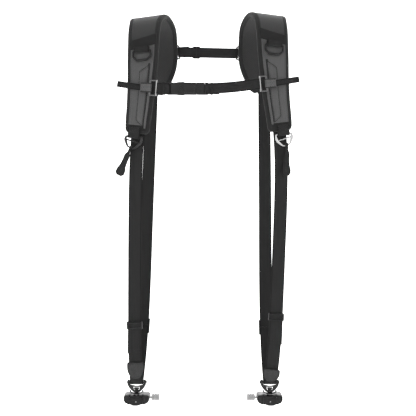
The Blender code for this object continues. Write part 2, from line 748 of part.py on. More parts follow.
def make_buckle():
    """Side-release buckle, fastened: a hollow socket and the plug whose two arms reach into it."""
    frame = buckle_frame()
    half_length = BUCKLE_LENGTH / 2
    half_height = BUCKLE_HEIGHT / 2
    half_thick = BUCKLE_THICKNESS / 2
    bevel = BUCKLE_BEVEL
    section = [
        (-half_height, -half_thick + bevel),
        (-half_height, half_thick - bevel),
        (-half_height + bevel, half_thick),
        (half_height - bevel, half_thick),
        (half_height, half_thick - bevel),
        (half_height, -half_thick + bevel),
        (half_height - bevel, -half_thick),
        (-half_height + bevel, -half_thick),
    ]
    rings = []
    for across in (-half_length, half_length):
        rings.append([frame.at(across, out, up) for up, out in section])
    socket = make_object("buckle_socket", loft(rings), "black_plastic")
    slot_low = -half_length + BUCKLE_BAR
    slot_high = slot_low + BUCKLE_SLOT
    slot_half = CHEST_WEBBING / 2 + CLEARANCE
    bar_half = BUCKLE_BAR_THICKNESS / 2
    slot = make_object("cut_socket_slot", block(
        frame,
        (slot_low, -BUCKLE_THICKNESS, -slot_half),
        (slot_high, BUCKLE_THICKNESS, slot_half),
    ), "black_plastic")
    combine(socket, slot, "DIFFERENCE")
    for name, near, far in (("front", bar_half, BUCKLE_THICKNESS), ("back", -BUCKLE_THICKNESS, -bar_half)):
        relief = make_object(f"cut_socket_{name}", block(
            frame, (-BUCKLE_LENGTH, near, -slot_half), (slot_high, far, slot_half),
        ), "black_plastic")
        combine(socket, relief, "DIFFERENCE")
    inner_half = half_height - BUCKLE_WALL
    inner_thick = half_thick - BUCKLE_WALL
    floor = slot_high + BUCKLE_WALL
    cavity = make_object("cut_socket_cavity", block(
        frame,
        (floor, -inner_thick, -inner_half),
        (BUCKLE_LENGTH, inner_thick, inner_half),
    ), "black_plastic")
    combine(socket, cavity, "DIFFERENCE")
    window_half = BUCKLE_WINDOW / 2
    window_middle = -BUCKLE_WINDOW_SHIFT
    window = make_object("cut_socket_window", block(
        frame,
        (window_middle - window_half, -inner_thick, -BUCKLE_HEIGHT),
        (window_middle + window_half, inner_thick, BUCKLE_HEIGHT),
    ), "black_plastic")
    combine(socket, window, "DIFFERENCE")

    arm_thick = inner_thick - CLEARANCE
    arm_outer = inner_half - 2 * CLEARANCE
    arm_inner = arm_outer - PLUG_ARM_WIDTH
    pad_outer = half_height + PLUG_PAD_PROUD
    pad_half = window_half - 2 * CLEARANCE
    flange_start = half_length + CLEARANCE
    flange_end = flange_start + PLUG_FLANGE
    plug_end = half_length + PLUG_LENGTH
    neck = flange_start - PLUG_NECK_LENGTH
    upper = [
        (flange_start, half_height - CLEARANCE),
        (flange_start, arm_outer),
        (window_middle + pad_half, arm_outer),
        (window_middle + pad_half, pad_outer),
        (window_middle - pad_half, pad_outer - PLUG_PAD_SLOPE),
        (window_middle - pad_half, arm_inner),
        (neck, arm_inner - PLUG_ARM_TAPER),
    ]
    lower = [(across, -up) for across, up in reversed(upper)]
    arms = [frame.at(across, 0, up) for across, up in upper + lower]
    arms_outline = [frame.at(flange_start + JOIN_LAP, 0, half_height - CLEARANCE)] + arms
    arms_outline.append(frame.at(flange_start + JOIN_LAP, 0, -half_height + CLEARANCE))
    plug = make_object(
        "buckle_plug", prism(arms_outline, frame.out * -arm_thick, frame.out * arm_thick), "black_plastic",
    )
    flange = make_object("join_plug_flange", block(
        frame,
        (flange_start, -half_thick + CLEARANCE, -half_height + PLUG_FLANGE_INSET),
        (flange_end, half_thick - CLEARANCE, half_height - PLUG_FLANGE_INSET),
    ), "black_plastic")
    combine(plug, flange, "UNION")
    ladder = make_object("join_plug_ladder", block(
        frame,
        (flange_end - JOIN_LAP, -bar_half, -slot_half - BUCKLE_WALL),
        (plug_end, bar_half, slot_half + BUCKLE_WALL),
    ), "black_plastic")
    combine(plug, ladder, "UNION")
    slot_start = plug_end - BUCKLE_BAR - BUCKLE_SLOT
    plug_slot = make_object("cut_plug_slot", block(
        frame,
        (slot_start, -BUCKLE_THICKNESS, -slot_half),
        (plug_end - BUCKLE_BAR, BUCKLE_THICKNESS, slot_half),
    ), "black_plastic")
    combine(plug, plug_slot, "DIFFERENCE")


def buckle_bar(end):
    """Middle of the bar at an end of the fastened buckle: -1 for the socket, 1 for the plug."""
    frame = buckle_frame()
    if end < 0:
        return frame.at(-BUCKLE_LENGTH / 2 + BUCKLE_BAR / 2, 0, 0)
    return frame.at(BUCKLE_LENGTH / 2 + PLUG_LENGTH - BUCKLE_BAR / 2, 0, 0)


def make_chest_straps():
    """Webbing from the left loop to the socket, and from the plug to the right loop."""
    up = Vector((0, 0, 1))
    middle = Vector((1, 0, 0))
    front = Vector((0, -1, 0))
    wire_radius = CHEST_LOOP_WIRE / 2 + CLEARANCE + THIN_WEBBING / 2
    bar_corner = math.hypot(BUCKLE_BAR, BUCKLE_BAR_THICKNESS) / 2
    bar_radius = bar_corner + CLEARANCE + THIN_WEBBING / 2
    ends = []
    for side in SIDES:
        frame = chest_frame(side)
        bar = mirrored(side, chest_bar(side, -1))
        ends.append((bar, mirrored(side, frame.across), mirrored(side, frame.out), mirrored(side, frame.up)))
    left_bar, left_toward, left_out, left_up = ends[0]
    right_bar, right_toward, right_out, right_up = ends[1]

    socket_bar = buckle_bar(-1)
    gap = (socket_bar - left_bar).length
    start = hairpin(left_bar, wire_radius, left_toward, -left_out, 0.42 * gap, 0.3 * gap)
    end = hairpin(socket_bar, bar_radius, middle, front, 0.2 * gap, 0.42 * gap)
    widths = [left_up] * len(start) + [up] * len(end)
    make_object("chest_strap_left", ribbon(start + end, widths, THIN_WEBBING, CHEST_WEBBING), "webbing")

    plug_bar = buckle_bar(1)
    start = hairpin(plug_bar, bar_radius, -middle, -front, CHEST_LAP, SHORT_LAP)
    end = hairpin(right_bar, wire_radius, right_toward, right_out, 2 * SHORT_LAP, CHEST_LAP)
    between = []
    for share in (0.2, 0.4, 0.6, 0.8):
        point = lerp(start[-1], end[0], share)
        between.append(point - up * (CHEST_SAG * math.sin(math.pi * share)))
    widths = [up] * (len(start) + len(between)) + [right_up] * len(end)
    strap = ribbon(start + between + end, widths, THIN_WEBBING, CHEST_WEBBING)
    make_object("chest_strap_right", strap, "webbing")


# Back strap


def back_clip_frame(side):
    """Frame at the middle of the plastic loop beside the rear leg of the pad, facing back."""
    position = position_at(side, BACK_STRAP_DROP + side.lift, rear=True)
    frame = pad_frame(side, position)
    half = pad_width(position) / 2
    out = PAD_THICKNESS + PAD_SEAT + THIN_WEBBING + CLEARANCE + BACK_CLIP_WIRE / 2
    return Frame(frame.at(BACK_CLIP_WIDTH / 4 - half, out, 0), frame.across, frame.out, -frame.up)


def make_back_clip(side):
    frame = back_clip_frame(side)
    half_width = (BACK_CLIP_WIDTH - BACK_CLIP_WIRE) / 2
    half_height = (BACK_CLIP_HEIGHT - BACK_CLIP_WIRE) / 2
    corners = [
        frame.at(-half_width, 0, -half_height),
        frame.at(half_width, 0, -half_height),
        frame.at(half_width, 0, half_height),
        frame.at(-half_width, 0, half_height),
    ]
    outline = rounded_outline(corners, CORNER_ROUND, 2)
    clip = wire(outline, frame.out, BACK_CLIP_WIRE / 2, True)
    make_object(f"{side.name}_back_clip", clip, "black_plastic", side)
    radius = BACK_CLIP_WIRE / 2 + CLEARANCE + THIN_WEBBING / 2
    bar = frame.at(half_width, 0, 0)
    path = hairpin(bar, radius, -frame.across, -frame.out, BACK_TAB_LENGTH / 2, BACK_TAB_LENGTH)
    tab = ribbon(path, frame.up, THIN_WEBBING, BACK_TAB_WIDTH)
    make_object(f"{side.name}_back_tab", tab, "webbing", side)


def make_back_strap():
    """Webbing between the two clips, with the slider that sets its length."""
    radius = BACK_CLIP_WIRE / 2 + CLEARANCE + THIN_WEBBING / 2
    half_width = (BACK_CLIP_WIDTH - BACK_CLIP_WIRE) / 2
    ends = []
    for side in SIDES:
        frame = back_clip_frame(side)
        bar = mirrored(side, frame.at(-half_width, 0, 0))
        ends.append((bar, mirrored(side, frame.across), mirrored(side, frame.out), mirrored(side, frame.up)))
    left_bar, left_toward, left_out, left_up = ends[0]
    right_bar, right_toward, right_out, right_up = ends[1]
    start = hairpin(left_bar, radius, left_toward, left_out, BACK_LAP, BACK_SHORT_LAP)
    end = hairpin(right_bar, radius, right_toward, -right_out, BACK_SHORT_LAP, BACK_LAP)
    along = (end[0] - start[-1]).normalized()
    up = (left_up + right_up).normalized()
    up = (up - along * up.dot(along)).normalized()
    middle = (BACK_SLIDER_X - start[-1].x) / (end[0].x - start[-1].x)
    reach = SLIDER_STRAIGHT / 2 * BACK_SLIDER_HEIGHT / (end[0] - start[-1]).length
    between = [lerp(start[-1], end[0], middle - reach), lerp(start[-1], end[0], middle + reach)]
    widths = [left_up] * len(start) + [up, up] + [right_up] * len(end)
    strap = ribbon(start + between + end, widths, THIN_WEBBING, BACK_WEBBING)
    make_object("back_strap", strap, "webbing")
    frame = Frame(lerp(start[-1], end[0], middle), up, up.cross(along), along)
    make_slider("back_slider", frame, None, BACK_WEBBING, THIN_WEBBING, BACK_SLIDER_HEIGHT, 0)


# Sliders


def make_slider(name, frame, side, strap_width, strap_thickness, height, extra_layers):
    """Tri-glide: two bars in front of the strap, one behind it, joined by two side walls.

    The frame is at the middle of the strap that runs through; extra_layers lie in front of it.
    """
    behind = strap_thickness / 2 + CLEARANCE
    layer = strap_thickness + CLEARANCE
    ahead = behind + (layer + TAIL_EASE) * extra_layers
    half = strap_width / 2 + CLEARANCE
    window = half - SLIDER_STEP
    outer = half + SLIDER_WALL
    half_height = height / 2
    body = make_object(name, block(
        frame,
        (-outer, -behind - SLIDER_LIP, -half_height),
        (outer, ahead + SLIDER_LIP, half_height),
    ), "black_plastic", side)
    far = strap_width
    cuts = (
        ((-half, -behind, -far), (half, ahead, far)),
        ((-window, 0, -half_height + SLIDER_BAR), (window, far, half_height - SLIDER_BAR)),
        ((-window, -far, SLIDER_BAR / 2), (window, 0, far)),
        ((-window, -far, -far), (window, 0, -SLIDER_BAR / 2)),
    )
    for i, (low, high) in enumerate(cuts):
        tool = make_object(f"cut_{name}_{i}", block(frame, low, high), "black_plastic", side)
        combine(body, tool, "DIFFERENCE")


# Main strap


def pin_point(side):
    return Vector((side.hang, 0, PIN_HEIGHT))


def strap_radius():
    return PIN_RADIUS + CLEARANCE + WEBBING_THICKNESS / 2


def run_ends(side, rear):
    """Where a run leaves the pad, where it meets the pin's circle, and its angle there."""
    pin = pin_point(side)
    radius = strap_radius()
    start = pad_end(side, rear).at(0, 0, STRAP_LEAD)
    sense = 1 if rear else -1
    angle = math.atan2(abs(start.y) - radius, start.z - pin.z)
    end = pin + Vector((0, sense * math.cos(angle), -math.sin(angle))) * radius
    return start, end, angle


def pad_end(side, rear):
    """Frame on the strap's middle at an end of the pad, its up direction away from the pad."""
    if rear:
        frame = pad_frame(side, LAST_STATION)
        return frame.moved(0, PAD_THICKNESS / 2, CLEARANCE)
    frame = pad_frame(side, 0)
    point = frame.at(0, WEBBING_THICKNESS / 2 + CLEARANCE, -CLEARANCE)
    return Frame(point, frame.across, frame.out, -frame.up)


def run_point(side, rear, share):
    """Middle of the strap at a share of its way from the pad to the pin."""
    start, end, _ = run_ends(side, rear)
    bow = side.rear_bow if rear else side.front_bow
    sway = side.rear_sway if rear else 0
    point = lerp(start, end, share)
    point.x += bow * (1 - (2 * share - 1) ** 4)
    point.x += sway * SWAY_SCALE * share * (1 - share) * (1 - 2 * share)
    return point


def run_across(share):
    """Width direction of the strap, turned like the pad at the top and square to the pin below."""
    yaw = PAD_YAW * (1 - share)
    return Vector((math.cos(yaw), math.sin(yaw), 0))


def run_frame(side, rear, share, reach):
    """Frame on the strap between two shares a reach apart; out is away from the other run."""
    top = run_point(side, rear, share - reach)
    low = run_point(side, rear, share + reach)
    upward = (top - low).normalized()
    across = run_across(share)
    across = (across - upward * across.dot(upward)).normalized()
    out = across.cross(upward)
    return Frame((top + low) / 2, across, -out if rear else out, upward)


def run_reach(side, rear, length):
    """Half a length along a run, as a share of the run."""
    start, end, _ = run_ends(side, rear)
    return length / 2 / (start - end).length


def run_rows(side, rear):
    """Shares and width directions of the run, with a straight stretch inside its slider."""
    height = REAR_SLIDER_HEIGHT if rear else FRONT_SLIDER_HEIGHT
    middle = side.rear_slider_share if rear else side.slider_share
    reach = run_reach(side, rear, SLIDER_STRAIGHT * height)
    rows = []
    for share in RUN_SHARES:
        if abs(share - middle) > 1.5 * reach:
            rows.append((share, run_across(share)))
    rows.append((middle - reach, run_across(middle)))
    rows.append((middle + reach, run_across(middle)))
    return sorted(rows, key=lambda row: row[0])


RUN_SHARES = (0.0, 0.06, 0.13, 0.22, 0.35, 0.5, 0.65, 0.73, 0.8, 0.86, 0.91, 0.95, 0.98)


def make_main_strap(side):
    """One length of webbing from the front end of the pad, round the pin, to its rear end."""
    first = pad_end(side, False)
    last = pad_end(side, True)
    points = [first.point]
    across = [first.across]
    for share, wide in run_rows(side, False):
        points.append(run_point(side, False, share))
        across.append(wide)
    pin = pin_point(side)
    front_angle = math.pi + run_ends(side, False)[2]
    rear_angle = 2 * math.pi - run_ends(side, True)[2]
    steps = 2 * HAIRPIN_STEPS
    for i in range(steps + 1):
        angle = lerp(front_angle, rear_angle, i / steps)
        points.append(pin + Vector((0, math.cos(angle), math.sin(angle))) * strap_radius())
        across.append(run_across(1))
    for share, wide in reversed(run_rows(side, True)):
        points.append(run_point(side, True, share))
        across.append(wide)
    points.append(last.point)
    across.append(last.across)
    strap = ribbon(points, across, WEBBING_THICKNESS, MAIN_WEBBING)
    make_object(f"{side.name}_main_strap", strap, "webbing", side)


def make_strap_hardware(side):
    """Both sliders, the doubled free end in front and the leather tab."""
    front_reach = run_reach(side, False, SLIDER_STRAIGHT * FRONT_SLIDER_HEIGHT)
    front = run_frame(side, False, side.slider_share, front_reach)
    make_slider(
        f"{side.name}_front_slider", front, side, MAIN_WEBBING, WEBBING_THICKNESS, FRONT_SLIDER_HEIGHT, 1,
    )
    rear_reach = run_reach(side, True, SLIDER_STRAIGHT * REAR_SLIDER_HEIGHT)
    rear = run_frame(side, True, side.rear_slider_share, rear_reach)
    make_slider(
        f"{side.name}_rear_slider", rear, side, MAIN_WEBBING, WEBBING_THICKNESS, REAR_SLIDER_HEIGHT, 0,
    )
    layer = WEBBING_THICKNESS + CLEARANCE
    points = [front.at(0, layer, FRONT_SLIDER_HEIGHT / 2)]
    across = [front.across]
    rows = [row for row in run_rows(side, False) if side.slider_share < row[0] < side.tail_share]
    rows.append((side.tail_share, run_across(side.tail_share)))
    for share, wide in rows:
        frame = run_frame(side, False, share, TINY_SHARE)
        shift = TAIL_SHIFT * (share - side.slider_share) / (side.tail_share - side.slider_share)
        points.append(frame.at(shift, layer + TAIL_EASE, 0))
        across.append(wide)
    tail = ribbon(points, across, WEBBING_THICKNESS, MAIN_WEBBING)
    make_object(f"{side.name}_strap_tail", tail, "webbing", side)

    middle = (side.tab_share + side.tab_end_share) / 2
    reach = (side.tab_end_share - side.tab_share) / 2
    frame = run_frame(side, False, middle, reach)
    length = (run_point(side, False, side.tab_share) - run_point(side, False, side.tab_end_share)).length
    outline = []
    for row in TAB_OUTLINE:
        outline.append(frame.at(row.across * TAB_WIDTH / 2, 0, (row.up - 0.5) * length))
    for row in reversed(TAB_OUTLINE[1:]):
        outline.append(frame.at(-row.across * TAB_WIDTH / 2, 0, (row.up - 0.5) * length))
    back = WEBBING_THICKNESS / 2 + CLEARANCE + PAD_SEAT
    tab = prism(outline, frame.out * back, frame.out * (back + TAB_THICKNESS))
    make_object(f"{side.name}_tab", tab, "leather", side)


# Ring and tether loop


def pad_ring_frame(side):
    """Frame at the middle of the ring's top bar, just under the front end of the pad."""
    frame = pad_frame(side, 0)
    return frame.moved(PAD_RING_OFFSET, PAD_RING_DEPTH, -PAD_RING_BELOW)


def make_pad_ring(side):
    frame = pad_ring_frame(side)
    tilted = frame.rolled(-PAD_RING_TILT)
    half = (PAD_RING_WIDTH - PAD_RING_WIRE) / 2
    depth = PAD_RING_HEIGHT - PAD_RING_WIRE
    corners = [
        frame.at(-half, 0, 0),
        frame.at(half, 0, 0),
        tilted.at(half, 0, -RING_SHOULDER * depth),
        tilted.at(RING_FOOT * half, 0, -depth),
        tilted.at(-RING_FOOT * half, 0, -depth),
        tilted.at(-half, 0, -RING_SHOULDER * depth),
    ]
    outline = rounded_outline(corners, RING_ROUND * depth, 2)
    ring = make_object(
        f"{side.name}_pad_ring", wire(outline, frame.out, PAD_RING_WIRE / 2, True), "steel", side,
    )
    crossbar_ends = [tilted.at(end * half, 0, -RING_SHOULDER * depth) for end in (-1, 1)]
    bar = make_object(
        f"join_{side.name}_ring_bar",
        wire(crossbar_ends, frame.out, RING_BAR_WIRE / 2, False), "steel", side,
    )
    combine(ring, bar, "UNION")

    radius = PAD_RING_WIRE / 2 + CLEARANCE + THIN_WEBBING / 2
    front_lap = PAD_RING_BELOW + RING_WEBBING_LAP
    fold = hairpin(
        frame.point, radius, -frame.up, frame.out, PAD_RING_BELOW, PAD_RING_BELOW - 2 * CLEARANCE,
    )
    surface = PAD_THICKNESS + 2 * PAD_SEAT + THIN_WEBBING / 2 - PAD_RING_DEPTH
    sewn = [frame.at(0, surface, front_lap), frame.at(0, surface, PAD_RING_BELOW + THIN_WEBBING)]
    path = sewn + fold[1:]
    webbing = ribbon(path, frame.across, THIN_WEBBING, RING_WEBBING)
    make_object(f"{side.name}_ring_webbing", webbing, "webbing", side)


def make_lanyard(side):
    """Narrow webbing folded over the foot of the ring, with a long eye near its free end."""
    ring = pad_ring_frame(side)
    tilted = ring.rolled(-PAD_RING_TILT)
    foot = tilted.at(0, 0, -(PAD_RING_HEIGHT - PAD_RING_WIRE))
    down = Vector((math.sin(side.lanyard_lean), 0, -math.cos(side.lanyard_lean)))
    down = (down - ring.out * down.dot(ring.out)).normalized()
    across = ring.out.cross(down)
    radius = PAD_RING_WIRE / 2 + CLEARANCE + LANYARD_THICKNESS / 2 + LANYARD_SLACK
    path = hairpin(foot, radius, -down, -ring.out, LANYARD_BACK_LAP, LANYARD_FRONT_LAP)
    front = foot + ring.out * radius
    widths = [LANYARD_NECK] * len(path)
    for row in LANYARD_ROWS:
        path.append(front + down * LANYARD_LENGTH * row.along)
        widths.append(row.width)
    strap = ribbon(path, across, LANYARD_THICKNESS, widths)
    lanyard = make_object(f"{side.name}_lanyard", strap, "webbing", side)
    eye = Frame(front + down * LANYARD_LENGTH * EYE_SHARE, across, ring.out, -down)
    half_width = EYE_WIDTH / 2
    half_length = EYE_LENGTH / 2
    tool = make_object(f"cut_{side.name}_eye", block(
        eye, (-half_width, -half_length, -half_length), (half_width, half_length, half_length),
    ), "webbing", side)
    combine(lanyard, tool, "DIFFERENCE")


# Link, yoke and clamp


def link_frame(side):
    """Frame on the pin's axis; across points to the middle of the harness, where the knob is."""
    return Frame(pin_point(side), Vector((-1, 0, 0)), Vector((0, -1, 0)), Vector((0, 0, 1)))


def yoke_frame(side):
    return link_frame(side).moved(0, 0, -SHACKLE_DROP)


def plate_top():
    """Height of the plate's upper face, measured from the yoke's hinge."""
    return -(YOKE_BASE_DROP + CLEARANCE + BOSS_HEIGHT)


def make_shackle(side):
    frame = link_frame(side)
    rows = [(row.across * EYE_OFFSET, -row.down * SHACKLE_DROP) for row in SHACKLE_BOW]
    right = [frame.at(across, 0, up) for across, up in rows]
    left = [frame.at(-across, 0, up) for across, up in reversed(rows)]
    path = smooth_points(right, 2) + smooth_points(left, 2)
    bow = make_object(
        f"{side.name}_shackle", wire(path, frame.out, SHACKLE_WIRE / 2, False), "dark_steel", side,
    )
    hole = PIN_RADIUS + CLEARANCE
    for sense in (-1, 1):
        centre = frame.at(sense * EYE_OFFSET, 0, 0)
        half = EYE_THICKNESS / 2
        eye = make_object(
            f"join_{side.name}_eye_{sense + 1}",
            turned([(-half, EYE_RADIUS), (half, EYE_RADIUS)], centre, frame.across, 16), "dark_steel", side,
        )
        combine(bow, eye, "UNION")
    reach = 2 * EYE_OFFSET
    drill = make_object(
        f"cut_{side.name}_pin_hole",
        turned([(-reach, hole), (reach, hole)], frame.point, frame.across, 16), "dark_steel", side,
    )
    combine(bow, drill, "DIFFERENCE")
    set_origin(bow, mirrored(side, frame.point))

    end = EYE_OFFSET + EYE_THICKNESS / 2 + CLEARANCE
    profile = [
        (-end - PIN_TIP, PIN_RADIUS - PIN_BEVEL),
        (-end, PIN_RADIUS),
        (end, PIN_RADIUS),
        (end, PIN_HEAD_RADIUS - PIN_BEVEL),
        (end + PIN_BEVEL, PIN_HEAD_RADIUS),
        (end + PIN_HEAD_LENGTH - PIN_BEVEL, PIN_HEAD_RADIUS),
        (end + PIN_HEAD_LENGTH, PIN_HEAD_RADIUS - PIN_BEVEL),
    ]
    pin = turned(profile, frame.point, frame.across, 12)
    pin_object = make_object(f"{side.name}_shackle_pin", pin, "dark_steel", side)
    set_origin(pin_object, mirrored(side, frame.point))


def make_yoke(side):
    """Black swivel head: an eye round the shackle's foot, a horn on each side, a stem below."""
    frame = yoke_frame(side)
    foot = -YOKE_BASE_DROP
    top = foot + YOKE_BASE_THICKNESS
    horn_outer = HORN_INNER + HORN_WIDTH
    right = [
        (YOKE_BASE_RADIUS, foot),
        (horn_outer, foot + HORN_UNDERCUT),
        (horn_outer, HORN_RISE),
        (HORN_INNER, HORN_RISE),
        (HORN_INNER, top + HORN_ROOT),
        (YOKE_BASE_RADIUS - HORN_ROOT / 2, top),
    ]
    left = [(-across, up) for across, up in reversed(right)]
    outline = [frame.at(across, 0, up) for across, up in right + left]
    half_depth = YOKE_DEPTH / 2
    yoke = make_object(
        f"{side.name}_yoke", prism(outline, frame.out * -half_depth, frame.out * half_depth),
        "black_aluminium", side,
    )
    half_lug = LUG_WIDTH / 2
    lug = make_object(
        f"join_{side.name}_lug",
        turned([(-half_lug, LUG_RADIUS), (half_lug, LUG_RADIUS)], frame.point, frame.across, 16),
        "black_aluminium", side,
    )
    combine(yoke, lug, "UNION")
    neck = 0.85 * half_lug
    tongue_rows = [
        (neck, foot + JOIN_LAP), (neck, 0.25 * TONGUE_RISE), (TONGUE_HALF, 0.8 * TONGUE_RISE),
        (0.75 * TONGUE_HALF, TONGUE_RISE), (-0.75 * TONGUE_HALF, TONGUE_RISE),
        (-TONGUE_HALF, 0.8 * TONGUE_RISE), (-neck, 0.25 * TONGUE_RISE), (-neck, foot + JOIN_LAP),
    ]
    tongue_outline = [frame.at(across, 0, up) for across, up in tongue_rows]
    tongue_depth = 0.8 * half_depth
    tongue = make_object(
        f"join_{side.name}_tongue",
        prism(tongue_outline, frame.out * -tongue_depth, frame.out * tongue_depth),
        "black_aluminium", side,
    )
    combine(yoke, tongue, "UNION")
    stem_rows = [
        (foot - STEM_LENGTH, STEM_RADIUS),
        (foot, STEM_RADIUS),
        (foot, YOKE_BASE_RADIUS - YOKE_STEP),
        (foot + YOKE_BASE_THICKNESS - YOKE_STEP / 3, YOKE_BASE_RADIUS - YOKE_STEP),
    ]
    stem = make_object(
        f"join_{side.name}_stem", turned(stem_rows, frame.point, frame.up, 16), "black_aluminium", side,
    )
    combine(yoke, stem, "UNION")
    hole = SHACKLE_WIRE / 2 + CLEARANCE
    drill = make_object(
        f"cut_{side.name}_lug_hole",
        turned([(-LUG_WIDTH, hole), (LUG_WIDTH, hole)], frame.point, frame.across, 16),
        "black_aluminium", side,
    )
    combine(yoke, drill, "DIFFERENCE")
    set_origin(yoke, mirrored(side, frame.point))


def make_plate(side):
    """Dovetail plate with the round boss that the yoke's stem turns in."""
    frame = yoke_frame(side)
    top = plate_top()
    bottom = top - PLATE_THICKNESS
    rows = [
        (PLATE_HALF, bottom), (PLATE_HALF, bottom + PLATE_EDGE), (PLATE_TOP_HALF, top),
        (-PLATE_TOP_HALF, top), (-PLATE_HALF, bottom + PLATE_EDGE), (-PLATE_HALF, bottom),
    ]
    outline = [frame.at(across, 0, up) for across, up in rows]
    half_depth = PLATE_DEPTH / 2
    plate = make_object(
        f"{side.name}_plate", prism(outline, frame.out * -half_depth, frame.out * half_depth),
        "silver_aluminium", side,
    )
    boss = make_object(
        f"join_{side.name}_boss",
        turned([(top - JOIN_LAP, BOSS_RADIUS), (top + BOSS_HEIGHT, BOSS_RADIUS)], frame.point, frame.up, 20),
        "silver_aluminium", side,
    )
    combine(plate, boss, "UNION")
    hole = STEM_RADIUS + CLEARANCE
    floor = -YOKE_BASE_DROP - STEM_LENGTH - CLEARANCE
    drill = make_object(
        f"cut_{side.name}_stem_hole",
        turned([(floor, hole), (0, hole)], frame.point, frame.up, 16), "silver_aluminium", side,
    )
    combine(plate, drill, "DIFFERENCE")
    set_origin(plate, mirrored(side, frame.point))


def jaw_outline():
    """Upper inner outline of a jaw, from the channel floor up to its top: (across, up) pairs."""
    top = plate_top()
    bottom = top - PLATE_THICKNESS
    slope = PLATE_HALF - PLATE_TOP_HALF
    lip = PLATE_TOP_HALF + LIP_GAP
    return [
        (JAW_SPLIT - CLEARANCE, bottom - CLEARANCE),
        (JAW_SPLIT - CLEARANCE, top - slope + CLEARANCE),
        (lip, top + CLEARANCE / 2),
        (lip, top + LIP_HEIGHT),
        (JAW_SPLIT, top - PLATE_THICKNESS + JAW_RISE),
    ]


def clamp_side(end, top, floor, foot):
    """Outer outline of one side of the clamp, from the jaw's top down to the foot."""
    return [
        (end - SHOULDER_WIDTH, top),
        (end, top - SHOULDER_DROP),
        (end, floor - FLANK_DROP),
        (end - HEEL_INSET, floor - HEEL_DROP),
        (end - FOOT_INSET, foot),
    ]


def make_clamp(side):
    """Fixed jaw and body, the moving jaw, and the knob with its screw."""
    frame = yoke_frame(side)
    floor = plate_top() - PLATE_THICKNESS - CLEARANCE
    jaw_top = plate_top() - PLATE_THICKNESS + JAW_RISE
    foot = floor - CLAMP_BODY_HEIGHT
    end = CLAMP_HALF_LENGTH
    inner = jaw_outline()
    outer = clamp_side(end, jaw_top, floor, foot)
    fixed_outer = clamp_side(CLAMP_FIXED_LENGTH, jaw_top, floor, foot)
    half_depth = CLAMP_DEPTH / 2
    split = JAW_SPLIT - CLEARANCE
    fixed = [(-across, up) for across, up in inner + fixed_outer] + [(split, foot), (split, floor)]
    outline = [frame.at(across, 0, up) for across, up in fixed]
    clamp = make_object(
        f"{side.name}_clamp", prism(outline, frame.out * -half_depth, frame.out * half_depth),
        "black_aluminium", side,
    )
    base = make_object(
        f"join_{side.name}_base",
        turned([(foot - BASE_HEIGHT, BASE_RADIUS), (foot + JOIN_LAP, BASE_RADIUS)],
               frame.at(-BASE_SHIFT, 0, 0), frame.up, 24),
        "black_aluminium", side,
    )
    combine(clamp, base, "UNION")
    edge_height = inner[1][1]
    moving = [(JAW_SPLIT, floor), (JAW_SPLIT, edge_height)] + inner[2:] + outer + [(JAW_SPLIT, foot)]
    jaw = make_object(
        f"{side.name}_jaw",
        prism([frame.at(across, 0, up) for across, up in moving],
              frame.out * -half_depth, frame.out * half_depth),
        "black_aluminium", side,
    )
    screw = frame.moved(0, 0, floor - KNOB_DROP)
    hole = SHAFT_RADIUS + CLEARANCE
    bottom = split - SHAFT_DEPTH
    for target, name in ((clamp, "body"), (jaw, "jaw")):
        drill = make_object(
            f"cut_{side.name}_{name}_bore",
            turned([(bottom - CLEARANCE, hole), (2 * end, hole)], screw.point, screw.across, 24),
            "black_aluminium", side,
        )
        combine(target, drill, "DIFFERENCE")
    start = end + KNOB_GAP
    rings = []
    profile = (
        (bottom, SHAFT_RADIUS, 0), (start, SHAFT_RADIUS, 0), (start, KNOB_RADIUS - KNOB_BEVEL, 0),
        (start + KNOB_BEVEL, KNOB_RADIUS, 1), (start + KNOB_LENGTH - KNOB_BEVEL, KNOB_RADIUS, 1),
        (start + KNOB_LENGTH, KNOB_RADIUS - KNOB_BEVEL, 0),
    )
    for distance, radius, toothed in profile:
        ring = []
        for k in range(2 * KNOB_TEETH):
            angle = math.pi * k / KNOB_TEETH
            spoke = screw.out * math.cos(angle) + screw.up * math.sin(angle)
            groove = KNOB_GROOVE if toothed and k % 2 else 0
            ring.append(screw.point + screw.across * distance + spoke * (radius - groove))
        rings.append(ring)
    knob = make_object(f"{side.name}_knob", loft(rings), "silver_aluminium", side)
    hinge = mirrored(side, screw.point)
    for moved in (clamp, jaw):
        set_origin(moved, mirrored(side, frame.point))
    set_origin(knob, hinge)


def main():
    for obj in list(bpy.data.objects):
        bpy.data.objects.remove(obj, do_unlink=True)
    for side in SIDES:
        make_pad(side)
        make_band(side)
        make_pocket(side)
        make_d_ring(side)
        make_chest_anchor(side)
        make_back_clip(side)
        make_main_strap(side)
        make_strap_hardware(side)
        make_pad_ring(side)
        make_lanyard(side)
        make_shackle(side)
        make_yoke(side)
        make_plate(side)
        make_clamp(side)
    make_buckle()
    make_chest_straps()
    make_back_strap()


main()
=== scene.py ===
"""Looks for a two-shoulder camera harness: padded yokes, webbing, buckle, rings and camera clamps.

Everything is in metres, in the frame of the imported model: +X is the viewer's right, +Y the wearer's
back, +Z up. Each side is built with x measured outwards from the middle and mirrored to its place.
"""

import math
from collections import namedtuple
from itertools import product

import bmesh
import bpy
import numpy as np
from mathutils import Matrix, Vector


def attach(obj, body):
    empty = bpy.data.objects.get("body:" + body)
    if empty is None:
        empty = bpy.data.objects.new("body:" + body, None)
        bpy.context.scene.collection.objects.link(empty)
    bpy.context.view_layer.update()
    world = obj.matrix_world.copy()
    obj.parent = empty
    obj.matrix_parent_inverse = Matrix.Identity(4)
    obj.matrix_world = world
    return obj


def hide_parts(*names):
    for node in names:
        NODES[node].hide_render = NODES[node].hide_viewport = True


bl_info = {
    "name": "Two-shoulder camera harness",
    "version": (1, 0, 0),
    "blender": (4, 5, 0),
    "location": "3D View > Sidebar > Harness",
    "description": "Builds the visible fabric, webbing and hardware of a camera harness on its packed frame",
    "category": "Object",
}

